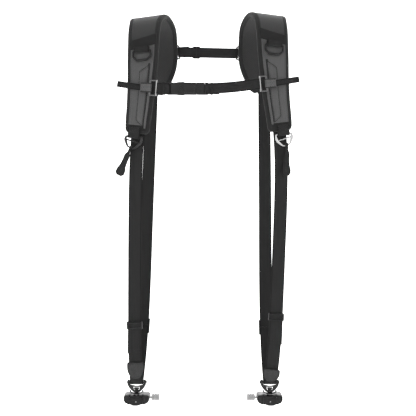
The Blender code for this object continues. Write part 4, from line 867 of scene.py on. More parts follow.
def grained(name, colour, roughness, grain, depth, contrast, metallic=0.0):
    """Thread, moulded plastic or metal: a fine noisy relief on Object coordinates."""
    made, tree, shader = shader_of(name, roughness, metallic)
    if not metallic:
        shader.inputs["Specular IOR Level"].default_value = 0.2
    place = add_node(tree, "ShaderNodeTexCoord").outputs["Object"]
    fine, large = (
        add_node(tree, NOISE, {"Vector": place, "Scale": 1 / size, "Detail": detail}).outputs["Fac"]
        for size, detail in ((grain, 4.0), (BLOTCH_SIZE, 2.0))
    )
    two_tone(tree, shader, blend(tree, (fine, 0.5), (large, 0.5)), colour, 1 - contrast, 1 + contrast)
    rough = blend(tree, (large, 0.3), start=max(roughness - 0.15, 0.05))
    tree.links.new(rough, shader.inputs["Roughness"])
    relief(tree, shader, fine, depth)
    return made


def leather(name, colour):
    """Split leather with a printed grain: small rounded cells about 1.2 mm across, waxed smooth."""
    made, tree, shader = shader_of(name, 0.62, Specular_IOR_Level=0.2)
    place = add_node(tree, "ShaderNodeTexCoord").outputs["Object"]
    bent = add_node(tree, NOISE, {"Vector": place, "Scale": 220.0, "Detail": 2.0}).outputs["Color"]
    shift = add_node(tree, "ShaderNodeVectorMath", {0: bent, "Scale": 1.2 * MM}, operation="SCALE")
    moved = add_node(tree, "ShaderNodeVectorMath", {0: place, 1: shift.outputs[0]}, operation="ADD")
    cells = add_node(
        tree, "ShaderNodeTexVoronoi", {"Vector": moved.outputs[0], "Scale": 1 / GRAIN_CELL},
        feature="DISTANCE_TO_EDGE",
    ).outputs["Distance"]
    pits = add_node(tree, MATH, {0: blend(tree, (cells, 5.0)), 1: 1.0}, operation="MINIMUM").outputs[0]
    blotch = add_node(tree, NOISE, {"Vector": place, "Scale": 160.0, "Detail": 4.0}).outputs["Fac"]
    two_tone(tree, shader, blend(tree, (pits, blotch)), colour, 0.55, 1.55)
    relief(tree, shader, pits, 0.25 * MM)
    return made


# Name, pitch of warp and weft and relief in millimetres, contrast, and what differs from matt cloth
WOVEN = {
    # Fine brushed nylon on foam: matt, a soft bloom where it turns to the light.
    "top_panel": (
        "Nylon softshell, brushed weave", 0.9, 0.9, 0.05, 0.25, dict(roughness=0.7, cross=0.1, sheen=0.2),
    ),
    # Coarse grey polyester: mottled yarns, flat and dry.
    "pocket": ("Polyester canvas, melange weave", 1.1, 1.1, 0.10, 0.35, dict(streak=0.25, cross=0.15)),
    # Ribbed tape: fine ribs across its length.
    "binding": ("Grosgrain binding, ribbed", 2.0, 1.2, 0.10, 0.3, dict(cross=0.3)),
    # Smooth satin band with a dense weave.
    "band": ("Nylon band, dense weave", 1.3, 1.0, 0.06, 0.3, dict(streak=0.1, cross=0.15)),
    # Nylon webbing: herringbone ribs, faint streaks along its length, and painted shade along its edges.
    "webbing": (
        "Nylon webbing, herringbone weave", 2.6, 1.9, 0.16, 0.45, dict(streak=0.35, roughness=0.7),
    ),
    # Folded grey tabs: lighter yarns with streaks that show where they were pulled tight.
    "grey_webbing": (
        "Polyester webbing, grey folded", 2.2, 1.6, 0.14, 0.5, dict(streak=0.5, roughness=0.75),
    ),
}
# Name, roughness, grain and relief in millimetres, contrast and metallic
GRAINED = {
    # Elastic: dull rubber-cored knit, nearly black.
    "keeper": ("Elastic tape, knitted", 0.8, 0.7, 0.1, 0.4, 0.0),
    # Twisted and bonded thread: a slight gloss on each stitch.
    "thread": ("Bonded polyester thread, twisted", 0.6, 0.5, 0.05, 0.3, 0.0),
    # Extruded coil: smooth and a little shiny along the teeth. Its dark colour also paints the shadow line
    # round the pocket flap.
    "zip": ("Nylon zip coil, extruded", 0.4, 1.0, 0.03, 0.3, 0.0),
    # The cut edge and the backing are dyed: dark, smooth and dull.
    "tab_edge": ("Leather edge, dyed", 0.7, 1.0, 0.04, 0.3, 0.0),
    # Acetal: satin black, a low broad highlight with a faint orange-peel.
    "plastic": ("Acetal, injection moulded", 0.42, 0.9, 0.02, 0.3, 0.0),
    # Plated wire made lighter as a painted highlight on the right ring and the chest bars: bright, with
    # small soft waves from the polishing.
    "painted_highlight_steel": ("Steel wire, nickel plated", 0.26, 3.0, 0.02, 0.12, 1.0),
    # The same wire left unpolished: a wider, greyer highlight.
    "loop_steel": ("Steel wire, dull nickel plated", 0.34, 2.4, 0.03, 0.2, 1.0),
    # Black plating: dark, with a narrow bright line along each bend.
    "dark_steel": ("Steel wire, black nickel plated", 0.32, 2.0, 0.03, 0.3, 1.0),
    # Hard anodised: near black, satin, with a grey bloom on turned faces.
    "black_metal": ("Aluminium, black anodised", 0.38, 1.2, 0.02, 0.35, 0.7),
    # Even lighter grey with a soft sheen: on the jaw caps a painted highlight on the jaws' top faces, and
    # the grey of the ring round the clamp's foot.
    "grey_metal_and_jaw_highlight": ("Aluminium, grey anodised and milled", 0.36, 1.6, 0.03, 0.25, 0.9),
    # Turned and clear anodised: light grey, a silky highlight that follows the turning.
    "silver_metal": ("Aluminium, clear anodised and turned", 0.34, 1.5, 0.03, 0.15, 1.0),
}
MATERIALS = {}


def finishes():
    """Every material of the harness, made once, from the colours in the panel."""
    if MATERIALS:
        return MATERIALS
    tone = {key: linear(getattr(colours(), key)) for key in COLOURS}
    # Knitted polyester spacer mesh: matt, with open holes that read as dark dots.
    MATERIALS["inner_mesh"] = air_mesh("Polyester spacer mesh, knitted", tone["inner_mesh"])
    # Grained and waxed: small pits that break up a soft highlight.
    MATERIALS["leather"] = leather("Split leather, printed grain", tone["leather"])
    for key, (name, warp, weft, depth, contrast, options) in WOVEN.items():
        MATERIALS[key] = woven(name, tone[key], warp * MM, weft * MM, depth * MM, contrast, **options)
    for key, (name, roughness, grain, depth, contrast, metallic) in GRAINED.items():
        MATERIALS[key] = grained(name, tone[key], roughness, grain * MM, depth * MM, contrast, metallic)
    return MATERIALS


# Properties

COLOURS = {
    "inner_mesh": ("#111111", "Inner mesh", "Spacer mesh against the body"),
    "top_panel": ("#2f2f2f", "Top panel", "Smooth panel over the shoulder"),
    "pocket": ("#464646", "Pocket", "Pocket, flap and zip strip"),
    "binding": ("#222222", "Binding", "Tape round the pad's edge"),
    "band": ("#1e1e1e", "Band", "Bare band across the pad"),
    "webbing": ("#1b1b1b", "Webbing", "Main, chest and back straps"),
    "keeper": ("#141414", "Keeper", "Elastic bands on the chest strap"),
    "grey_webbing": ("#464646", "Grey webbing", "Folded tab beside the chest loop"),
    "thread": ("#141414", "Thread", "Stitches"),
    # The zip's colour also paints the dark shadow line round the pocket flap
    "zip": ("#121212", "Zip", "Zip coil and tape"),
    "leather": ("#323232", "Leather", "Tab over the end of the main strap"),
    "tab_edge": ("#1c1c1c", "Leather edge", "Dyed edge and backing of the leather tab"),
    "plastic": ("#0e0e0e", "Plastic", "Buckle, sliders, clips and D-rings"),
    # Lighter copy of the ring steel: painted highlight on the right ring and the chest bars
    "painted_highlight_steel": ("#9a9a9a", "Bright steel", "Right ring"),
    "loop_steel": ("#5a5a5a", "Dull steel", "Chest loops"),
    "dark_steel": ("#333333", "Dark steel", "Shackles, pins and the left ring"),
    "black_metal": ("#161616", "Black aluminium", "Clamp body and swivel head"),
    # Lighter grey: painted highlight on the jaws' top faces, and the grey of the foot ring
    "grey_metal_and_jaw_highlight": ("#3c3c3c", "Grey aluminium", "Upper faces of the clamp's jaws"),
    "silver_metal": ("#a0a0a0", "Silver aluminium", "Knob and plate"),
    "floor": ("#f4f4f4", "Floor", "Studio floor"),
}


class HarnessColours(bpy.types.PropertyGroup):
    """Colours of the harness as sRGB hex codes."""

    __annotations__ = {
        key: bpy.props.StringProperty(name=label, description=about, default=code)
        for key, (code, label, about) in COLOURS.items()
    }


SIZES = {
    "stitch_pitch": (3.2 * MM, "Stitch pitch", "Distance from one stitch to the next"),
    "stitch_length": (2.3 * MM, "Stitch length", "Length of one stitch"),
    "stitch_width": (0.5 * MM, "Thread", "Thickness of the sewing thread"),
    "zip_pitch": (1.5 * MM, "Zip pitch", "Distance between two turns of the zip coil"),
    "rib_pitch": (2.4 * MM, "Rib pitch", "Distance between the ribs of the narrow chest strap"),
    "pad_swell": (0.9 * MM, "Pad swell", "Most that a point of a pad moves when it swells"),
    "floor_height": (-0.98, "Floor height", "Height of the studio floor"),
    "studio_radius": (3.4, "Studio radius", "Distance to the studio's curved wall"),
}


class HarnessSizes(bpy.types.PropertyGroup):
    """Sizes of the sewn and turned details, and the pressure in the pads."""

    __annotations__ = {
        key: bpy.props.FloatProperty(name=label, description=about, default=value, unit="LENGTH")
        for key, (value, label, about) in SIZES.items()
    }
    __annotations__["pad_pressure"] = bpy.props.FloatProperty(
        name="Pad pressure", description="Pressure that swells the pads", default=4.0,
    )


# Studio

WALL_BEND = 1.2
WALL_HEIGHT = 3.2
CAMERA_PLACE = (0, -1.5, -0.3635)
CAMERA_LENS = 67.6
CAMERA_SENSOR = 36.0
LAMP_TARGET = (0, 0, -0.3)
# Name, place, size in metres and power in watts
LAMPS = (
    ("key_light", (-0.9, -1.5, 0.9), 1.0, 8),
    ("fill_light", (1.3, -1.2, 0.1), 1.4, 3),
    ("top_light", (0.0, 0.2, 1.3), 1.4, 8),
    ("rim_light", (0.5, 1.6, 0.4), 1.2, 4),
)


def make_stage():
    """White studio bowl, soft lights and the camera."""
    sizes = settings()
    floor_z = sizes.floor_height
    radius = sizes.studio_radius
    bend = WALL_BEND
    profile = [(0.4 * radius * i / 4, floor_z) for i in range(5)]
    for i in range(13):
        angle = math.pi / 2 * i / 12
        profile.append((radius - bend + bend * math.sin(angle), floor_z + bend * (1 - math.cos(angle))))
    profile.append((radius, floor_z + WALL_HEIGHT))
    sides = 72
    points = [(0, 0, floor_z)]
    for r, z in profile[1:]:
        points += [(r * math.cos(a), r * math.sin(a), z) for a in turns(sides)]
    faces = [(0, 1 + k, 1 + (k + 1) % sides) for k in range(sides)]
    faces += grid_faces(len(profile) - 1, sides, offset=1, wrap=True)
    floor = solid("studio_floor", points, faces)
    made, tree, shader = shader_of("Studio paint, matt white", 0.9)
    shader.inputs["Base Color"].default_value = (*linear(colours().floor), 1)
    shader.inputs["Emission Color"].default_value = (1, 1, 1, 1)
    shader.inputs["Emission Strength"].default_value = 0.8
    floor.data.materials.append(made)

    world = bpy.data.worlds.new("Studio light")
    bpy.context.scene.world = world
    world.use_nodes = True
    background = world.node_tree.nodes["Background"]
    background.inputs["Color"].default_value = (1, 1, 1, 1)
    background.inputs["Strength"].default_value = 0.2
    for name, place, size, power in LAMPS:
        data = bpy.data.lights.new(name, "AREA")
        data.energy = power
        data.size = size
        made = linked(name, data)
        made.location = place
        aim = Vector(LAMP_TARGET) - Vector(place)
        made.rotation_euler = aim.to_track_quat("-Z", "Y").to_euler()

    data = bpy.data.cameras.new("camera")
    data.lens = CAMERA_LENS
    data.sensor_width = CAMERA_SENSOR
    data.clip_start = 0.01
    data.clip_end = 50
    made = linked("camera", data)
    made.location = CAMERA_PLACE
    made.rotation_euler = (math.pi / 2, 0, 0)
    bpy.context.scene.camera = made
    bpy.context.scene.view_settings.view_transform = "Standard"


# Pads

SKINS = {}


def swell(obj, rows, columns):
    """Let cloth pressure fill the pad between its pinned edges, then cap how far it moved."""
    sizes = settings()
    before = np.array([v.co for v in obj.data.vertices])
    group = obj.vertex_groups.new(name="edge")
    per_row = 2 * columns - 2
    last = rows - 1
    for i in range(rows):
        for k in range(per_row):
            column = k if k < columns else per_row - k
            edge = min(column, columns - 1 - column)
            if edge <= len(EDGE_STEPS) or min(i, last - i) < len(EDGE_STEPS):
                group.add([i * per_row + k], 1.0, "REPLACE")
    cloth = obj.modifiers.new("Cloth", "CLOTH")
    for key, value in {
        "quality": 5, "mass": 0.2, "tension_stiffness": 20, "compression_stiffness": 20,
        "bending_stiffness": 2, "use_pressure": True, "uniform_pressure_force": sizes.pad_pressure,
        "vertex_group_mass": group.name,
    }.items():
        setattr(cloth.settings, key, value)
    cloth.settings.effector_weights.gravity = 0
    cloth.point_cache.frame_start = 1
    cloth.point_cache.frame_end = 20
    scene = bpy.context.scene
    for number in range(1, 21):
        scene.frame_set(number)
    graph = bpy.context.evaluated_depsgraph_get()
    mesh = obj.evaluated_get(graph).to_mesh()
    after = np.array([v.co for v in mesh.vertices])
    obj.evaluated_get(graph).to_mesh_clear()
    obj.modifiers.clear()
    scene.frame_set(1)
    move = after - before
    reach = np.linalg.norm(move, axis=1)
    scale = np.tanh(reach / sizes.pad_swell) * sizes.pad_swell / np.maximum(reach, 1e-9)
    return before + move * scale[:, None]


def make_pads():
    for side in SIDES:
        skin = PadSkin(side)
        SKINS[side.name] = skin
        rows = len(skin.rows)
        columns = skin.outer.shape[1]
        points = []
        uvs = []
        for i in range(rows):
            offsets = skin.columns(skin.rows[i])
            outer = [tuple(p) for p in skin.outer[i]]
            inner = [tuple(p) for p in skin.inner[i]]
            points += outer + inner[-2:0:-1]
            uvs += [(a, skin.rows[i]) for a in offsets + offsets[-2:0:-1]]
        per_row = 2 * columns - 2
        faces = grid_faces(rows, per_row, wrap=True)
        for base in (0, (rows - 1) * per_row):
            for k in range(columns - 1):
                low = base + (per_row - k) % per_row
                low_next = base + (per_row - k - 1) % per_row
                corners = list(dict.fromkeys([base + k, base + k + 1, low_next, low]))
                faces.append(tuple(corners if base else reversed(corners)))
        pad = solid("pad_body", points, faces, side, uvs)
        moved = swell(pad, rows, columns)
        pad.data.vertices.foreach_set("co", moved.astype(np.float32).ravel())
        own = moved.copy()
        own[:, 0] *= side.sign
        own = own.reshape(rows, per_row, 3)
        skin.outer = own[:, :columns]
        smooth = pad.modifiers.new("Smooth cloth", "SUBSURF")
        smooth.levels = 1
        smooth.render_levels = 1
        baked(pad)
        pad.data.set_sharp_from_angle(angle=math.radians(80))
        finish(pad, "inner_mesh", HARNESS, "pad_mesh", f"{side.name}_pad")
        make_binding(side, skin)
        make_top_panel(side, skin)
        make_band(side, skin)
        make_pocket(side, skin)


def outline_stations(skin):
    """Round the pad's outline: point on the inner face, inward and out directions, distance."""
    stations = []
    side = skin.side
    steps = 8
    length = skin.length
    inner = list(np.linspace(EDGE_ROUND, length - EDGE_ROUND, round(length / (6 * MM))))
    for sense, distances in ((1, inner), (-1, inner[::-1])):
        for distance in distances:
            base = pad_frame(side, skin.position(distance))
            origin = base.at(sense * skin.half(distance), 0, 0)
            stations.append((origin, base.across * -sense, base.out))
        at_end = length if sense > 0 else 0
        base = pad_frame(side, skin.position(at_end))
        half = skin.half(at_end)
        for corner in (sense, -sense):
            pivot = base.at(corner * (half - EDGE_ROUND), 0, -sense * EDGE_ROUND)
            first = base.across * corner
            last = base.up * sense
            if corner != sense:
                first, last = last, first
            for step in range(1, steps):
                turn = math.pi / 2 * step / steps
                outward = first * math.cos(turn) + last * math.sin(turn)
                stations.append((pivot + outward * EDGE_ROUND, -outward, base.out))
            if corner == sense:
                for share in (0.75, 0.5, 0.25, 0, -0.25, -0.5, -0.75):
                    point = base.at(corner * share * (half - EDGE_ROUND), 0, 0)
                    stations.append((point, base.up * -sense, base.out))
    return stations


def make_binding(side, skin):
    """Ribbed tape folded round the whole edge of the pad, with a seam on each face."""
    outer = []
    inner = []
    for part in BINDING_SHARES:
        inset = part * BINDING_REACH
        share = bullnose(inset)
        outer.append((inset, edge_lift(share, True), share))
        inner.append((inset, edge_lift(share, False), -share))
    profile = outer + [(0, EDGE_MIDDLE, 0)] + inner[::-1]
    rings = []
    uvs = []
    stations = outline_stations(skin)
    travelled = 0.0
    for i, (origin, inward, out) in enumerate(stations):
        if i:
            travelled += (origin - stations[i - 1][0]).length
        ring = []
        for inset, height, share in profile:
            spread = math.sqrt(max(1 - share * share, 0))
            lift = out * (share * BINDING_LIFT) - inward * (spread * BINDING_LIFT)
            ring.append(origin + inward * inset + out * height + lift)
        sunk = [
            origin + inward * (inset + SINK) + out * lerp(height, EDGE_MIDDLE, 0.12)
            for inset, height, _ in reversed(profile)
        ]
        rings.append(ring + sunk)
        widths = [p[0] * (1 if p[2] >= 0 else -1) for p in profile]
        uvs += [(travelled, w) for w in widths + widths[::-1]]
    binding = ring_skin("pad_binding", rings, side, True, uvs)
    finish(binding, "binding", HARNESS, "pad_mesh")
    for outer, sign in ((True, 1), (False, -1)):
        height = edge_lift(bullnose(SEAM_INSET), outer) + sign * BINDING_LIFT
        points = [o + i * SEAM_INSET + n * height for o, i, n in stations]
        normals = [n * sign for _, _, n in stations]
        seam(HARNESS, side, points + points[:1], normals + normals[:1])


def make_top_panel(side, skin):
    """Smooth panel over the shoulder, from the band to the rear end."""
    start = skin.distance_at(side.band_drop + 3 * MM)
    end = skin.length - PANEL_END

    def place(v, u):
        distance = lerp(start, end, v)
        half = skin.half(distance, PANEL_INSET)
        across = lerp(-half, half, u)
        slope = BAND_SLOPE * across * (1 - v) ** 8
        return distance - slope, across

    piece = panel("top_panel", skin, place, 90, 12, 0.02 * MM, 0.3 * MM, 0.1 * MM)
    finish(piece, "top_panel", HARNESS, "pad_mesh")


def make_band(side, skin):
    """Bare woven band across the pad between the panel and the pocket."""
    low_edge = side.band_drop + BAND_HEIGHT

    def place(v, u):
        drop = lerp(low_edge, side.band_drop, v)
        half = skin.half(skin.distance_at(drop))
        across = lerp(BAND_GAPS[0] - half, half - BAND_GAPS[1], u)
        return skin.distance_at(drop + BAND_SLOPE * across), across

    piece = panel("band_tape", skin, place, 8, 14, 0.1 * MM, BAND_LIFT)
    finish(piece, "band", HARNESS, "band_fabric", f"{side.name}_band")
    for v in (0.1, 0.9):
        points = []
        for i in range(25):
            distance, across = place(v, 0.03 + 0.94 * i / 24)
            points.append(skin.at(distance, across, BAND_LIFT))
        seam(HARNESS, side, points, skin.out(distance))


def make_pocket(side, skin):
    """Flat pocket with its strip, zip and raised flap, a dark cord round the flap as its painted shadow
    line, and the patch at the pad's end.
    """
    top = skin.distance_at(side.band_drop + BAND_HEIGHT + PAD_SEAT)
    bottom = skin.distance_at(FRONT_DROP - POCKET_END_GAP)
    flap_top = skin.distance_at(side.flap_drop)
    flap_low = skin.distance_at(side.flap_drop + FLAP_LENGTH)

    def face_place(v, u):
        distance = lerp(bottom, top, v)
        across = skin.half(distance, PANEL_INSET) * lerp(-1, 1, u)
        return distance - BAND_SLOPE * across * v**3, across

    def flap_place(v, u):
        distance = lerp(flap_low + FLAP_SLANTS[0] * u, flap_top - FLAP_SLANTS[1] * u, v)
        return distance, skin.half(distance, PANEL_INSET) * lerp(ZIP_SHARE + 0.05, FLAP_SEAM_SHARE, u)

    def strip_place(v, u):
        distance = lerp(flap_low - 4 * MM, flap_top + 10 * MM, v)
        return distance, skin.half(distance, PANEL_INSET) * lerp(-0.99, ZIP_SHARE - 0.1, u)

    def zip_place(v, u):
        distance = lerp(flap_low, flap_top + 3 * MM, v)
        middle = skin.half(distance, PANEL_INSET) * ZIP_SHARE
        return distance, middle + lerp(-ZIP_HALF_WIDTH, ZIP_HALF_WIDTH, u)

    def end_place(v, u):
        distance = lerp(4.5 * MM, bottom - 0.4 * MM, v)
        half = skin.half(distance, END_PATCH_INSET)
        return distance, lerp(-half, half, u)

    def sheet(label, place, rows, columns, lifts, edge, material, slot, *nodes):
        made = panel(label, skin, place, rows, columns, *lifts, edge * MM)
        finish(made, material, HARNESS, slot, *nodes)

    def sew(places, lift):
        seam(HARNESS, side, [skin.at(d, a, lift) for d, a in places], [skin.out(d) for d, _ in places])

    sheet(
        "pocket_face", face_place, 44, 12, (0.06 * MM, POCKET_LIFT), 0.5, "pocket", "pocket_fabric",
        f"{side.name}_pocket",
    )
    sheet("pocket_flap", flap_place, 26, 7, (1.1 * MM, FLAP_LIFT), 1.0, "pocket", "pocket_fabric")
    sheet("pocket_strip", strip_place, 26, 4, (1.1 * MM, 2.1 * MM), 0.6, "pocket", "pocket_fabric")
    sheet("zip_tape", zip_place, 26, 3, (1.2 * MM, 1.55 * MM), 0.1, "zip", "band_fabric")
    line = [zip_place(i / 59, 0.45) for i in range(60)]
    points = [mirrored(side, skin.at(d, a, ZIP_LIFT)) for d, a in line]
    normals = [mirrored(side, skin.out(d)) for d, _ in line]
    teeth = repeated(
        f"{side.name}_zip_teeth", [(points, normals)], settings().zip_pitch,
        (1.0 * MM, 2.4 * MM, 0.9 * MM), "zip",
    )
    finish(teeth, "zip", HARNESS, "band_fabric")

    # A thin dark cord along the flap's border: painted shadow where the raised flap stands off the pocket
    border = [flap_place(0, u) for u in np.linspace(0, 1, 8)][:-1]
    border += [flap_place(v, 1) for v in np.linspace(0, 1, 30)]
    border += [flap_place(1, u) for u in np.linspace(1, 0, 8)][1:]
    path = [skin.at(d, a, FLAP_SHADOW_LIFT) for d, a in border]
    outs = [skin.out(d) for d, _ in border]
    cord = tube("flap_shadow_line", path, outs, FLAP_SHADOW_RADIUS, False, side, sides=8)
    finish(cord, "zip", HARNESS, "band_fabric")

    for inset in (0.12, 0.94):
        sew([flap_place(0.02 + 0.96 * i / 40, inset) for i in range(41)], FLAP_LIFT)
    for v in (0.03, 0.97):
        sew([flap_place(v, 0.06 + 0.88 * i / 16) for i in range(17)], FLAP_LIFT)
    for u in (0.05, 0.95):
        sew([face_place(0.03 + 0.94 * i / 60, u) for i in range(61)], POCKET_LIFT)
    sheet("end_patch", end_place, 5, 10, (0.06 * MM, 0.9 * MM), 0.3, "band", "band_fabric")


# Repeats along seams


def repeat_tree():
    """Geometry Nodes that set small rounded blocks along a seam, facing out from the cloth."""
    name = "Repeat along seam"
    if name in bpy.data.node_groups:
        return bpy.data.node_groups[name]
    tree = bpy.data.node_groups.new(name, "GeometryNodeTree")
    face = tree.interface
    face.new_socket("Geometry", in_out="INPUT", socket_type="NodeSocketGeometry")
    for label in ("Pitch", "Length", "Width", "Height"):
        made = face.new_socket(label, in_out="INPUT", socket_type="NodeSocketFloat")
        made.default_value = 2 * MM
    face.new_socket("Material", in_out="INPUT", socket_type="NodeSocketMaterial")
    face.new_socket("Geometry", in_out="OUTPUT", socket_type="NodeSocketGeometry")
    source = add_node(tree, "NodeGroupInput").outputs
    curve = add_node(tree, "GeometryNodeMeshToCurve", {"Mesh": source["Geometry"]})
    even = add_node(
        tree, "GeometryNodeResampleCurve",
        {"Curve": curve.outputs[0], "Length": source["Pitch"]}, mode="LENGTH",
    )
    tangent = add_node(tree, "GeometryNodeInputTangent")
    normal = add_node(
        tree, "GeometryNodeInputNamedAttribute", {"Name": "facing"}, data_type="FLOAT_VECTOR",
    )
    first = add_node(
        tree, "FunctionNodeAlignRotationToVector", {"Vector": tangent.outputs[0]}, axis="X",
    )
    second = add_node(
        tree, "FunctionNodeAlignRotationToVector",
        {"Rotation": first.outputs[0], "Vector": normal.outputs[0]}, axis="Z", pivot_axis="X",
    )
    size = add_node(
        tree, "ShaderNodeCombineXYZ",
        {"X": source["Length"], "Y": source["Width"], "Z": source["Height"]},
    )
    block = add_node(
        tree, "GeometryNodeMeshUVSphere", {"Segments": 8, "Rings": 4, "Radius": 0.5},
    )
    square = add_node(
        tree, "GeometryNodeTransform",
        {"Rotation": (0, math.radians(90), 0), "Geometry": block.outputs[0]},
    )
    points = add_node(
        tree, "GeometryNodeInstanceOnPoints",
        {
            "Points": even.outputs[0], "Instance": square.outputs[0],
            "Rotation": second.outputs[0], "Scale": size.outputs[0],
        },
    )
    real = add_node(tree, "GeometryNodeRealizeInstances", {"Geometry": points.outputs[0]})
    smooth = add_node(tree, "GeometryNodeSetShadeSmooth", {"Geometry": real.outputs[0]})
    painted = add_node(
        tree, "GeometryNodeSetMaterial",
        {"Geometry": smooth.outputs[0], "Material": source["Material"]},
    )
    add_node(tree, "NodeGroupOutput", {"Geometry": painted.outputs[0]})
    return tree


def repeated(name, lines, pitch, size, material):
    """One plain mesh of blocks set along the given lines; size is length, width and height."""
    points = []
    normals = []
    edges = []
    for line, facing in lines:
        start = len(points)
        points += [tuple(p) for p in line]
        normals += [tuple(n) for n in facing]
        edges += [(start + i, start + i + 1) for i in range(len(line) - 1)]
    mesh = bpy.data.meshes.new(name)
    mesh.from_pydata(points, edges, [])
    facing = mesh.attributes.new("facing", "FLOAT_VECTOR", "POINT")
    facing.data.foreach_set("vector", np.array(normals, np.float32).ravel())
    obj = linked(name, mesh)
    tree = repeat_tree()
    modifier = obj.modifiers.new("Repeat", "NODES")
    modifier.node_group = tree
    values = dict(zip(("Pitch", "Length", "Width", "Height"), (pitch, *size)))
    values["Material"] = finishes()[material]
    for item in tree.interface.items_tree:
        if item.in_out == "INPUT" and item.name in values:
            modifier[item.identifier] = values[item.name]
    return baked(obj)


# Webbing


def d_ring_frame(side):
    """Frame at the middle of the ring's straight bar."""
    base = pad_frame(side, position_at(side, side.band_drop + BAND_HEIGHT + D_RING_BELOW_BAND))
    surface = PAD_THICKNESS + PAD_SEAT + POCKET_THICKNESS
    out = surface + CLEARANCE + D_TAB_THICKNESS + CLEARANCE + D_RING_WIRE / 2
    return base.moved(0, out, 0).rolled(D_RING_SLOPE)


def chest_frame(side):
    """Frame at the middle of the wire loop beside the pad."""
    base = pad_frame(side, position_at(side, side.anchor_drop))
    surface = PAD_THICKNESS + PAD_SEAT + POCKET_THICKNESS + FLAP_THICKNESS
    out = surface + CLEARANCE + THIN_WEBBING + CLEARANCE + CHEST_LOOP_WIRE / 2
    return base.moved(-CHEST_LOOP_OFFSET, out, 0)


def chest_bar(side, end):
    return chest_frame(side).at(end * (CHEST_LOOP_WIDTH - CHEST_LOOP_WIRE) / 2, 0, 0)


def buckle_frame():
    left = mirrored(SIDES[0], chest_bar(SIDES[0], -1))
    point = Vector((BUCKLE_CENTRE, BUCKLE_FRONT, left.z - BUCKLE_SAG))
    return Frame(point, Vector((1, 0, 0)), Vector((0, -1, 0)), Vector((0, 0, 1)))


def buckle_bar(end):
    if end < 0:
        return buckle_frame().at(-BUCKLE_LENGTH / 2 + BUCKLE_BAR / 2, 0, 0)
    return buckle_frame().at(BUCKLE_LENGTH / 2 + PLUG_LENGTH - BUCKLE_BAR / 2, 0, 0)


def back_clip_frame(side):
    position = position_at(side, BACK_STRAP_DROP + side.lift, rear=True)
    base = pad_frame(side, position)
    half = pad_width(position) / 2
    out = PAD_THICKNESS + PAD_SEAT + THIN_WEBBING + CLEARANCE + BACK_CLIP_WIRE / 2
    return Frame(base.at(BACK_CLIP_WIDTH / 4 - half, out, 0), base.across, base.out, -base.up)


def pin_point(side):
    return Vector((side.hang, 0, PIN_HEIGHT))


def strap_radius():
    return PIN_RADIUS + CLEARANCE + WEBBING_THICKNESS / 2


def pad_end(side, rear):
    if rear:
        return pad_frame(side, LAST_STATION).moved(0, PAD_THICKNESS / 2, CLEARANCE)
    base = pad_frame(side, 0)
    point = base.at(0, WEBBING_THICKNESS / 2 + CLEARANCE, -CLEARANCE)
    return Frame(point, base.across, base.out, -base.up)


def run_ends(side, rear):
    pin = pin_point(side)
    radius = strap_radius()
    start = pad_end(side, rear).at(0, 0, STRAP_LEAD)
    sense = 1 if rear else -1
    angle = math.atan2(abs(start.y) - radius, start.z - pin.z)
    end = pin + Vector((0, sense * math.cos(angle), -math.sin(angle))) * radius
    return start, end, angle


def run_point(side, rear, share):
    start, end, _ = run_ends(side, rear)
    bow = side.rear_bow if rear else side.front_bow
    sway = side.rear_sway if rear else 0
    point = lerp(start, end, share)
    point.x += bow * (1 - (2 * share - 1) ** 4)
    point.x += sway * SWAY_SCALE * share * (1 - share) * (1 - 2 * share)
    return point


def run_across(share):
    yaw = PAD_YAW * (1 - share)
    return Vector((math.cos(yaw), math.sin(yaw), 0))


def run_reach(side, rear, length):
    start, end, _ = run_ends(side, rear)
    return length / 2 / (start - end).length


def run_frame(side, rear, share, reach):
    top = run_point(side, rear, share - reach)
    low = run_point(side, rear, share + reach)
    upward = (top - low).normalized()
    across = run_across(share)
    across = (across - upward * across.dot(upward)).normalized()
    out = across.cross(upward)
    return Frame((top + low) / 2, across, -out if rear else out, upward)


def run_rows(side, rear, steps=40):
    """Shares and width directions of the run, with a straight stretch inside its slider."""
    height = REAR_SLIDER_HEIGHT if rear else FRONT_SLIDER_HEIGHT
    middle = side.rear_slider_share if rear else side.slider_share
    reach = run_reach(side, rear, SLIDER_STRAIGHT * height)
    rows = [
        (i / steps, run_across(i / steps)) for i in range(steps)
        if abs(i / steps - middle) > 1.3 * reach
    ]
    rows += [(middle - reach, run_across(middle)), (middle + reach, run_across(middle))]
    return sorted(rows, key=lambda row: row[0])


def pad_ring_frame(side):
    return pad_frame(side, 0).moved(PAD_RING_OFFSET, PAD_RING_DEPTH, -PAD_RING_BELOW)


def rectangle(base, width, height, out=0.0):
    """The corners of a rectangle round a frame's point, in its own plane or lifted from it."""
    ends = ((-1, -1), (1, -1), (1, 1), (-1, 1))
    return [base.at(a * width / 2, out, u * height / 2) for a, u in ends]


def webbing(name, node, points, across, thickness, widths, side=None, material="webbing"):
    """A strap that stands for a node of the harness; the side's name goes before both names."""
    made = strap(name, points, across, thickness, widths, side)
    finish(made, material, HARNESS, material, f"{side.name}_{node}" if side else node)


def cross_box(side, base, width, height, out):
    """A sewn box with a cross in it."""
    corners = rectangle(base, width, height, out)
    seam(HARNESS, side, corners + corners[:1], base.out)
    seam(HARNESS, side, corners[::2], base.out)
    seam(HARNESS, side, corners[1::2], base.out)


def world_frame(side, base):
    """The frame mirrored to its side, for a piece that runs from one side to the other."""
    return Frame(*(mirrored(side, v) for v in (base.point, base.across, base.out, base.up)))


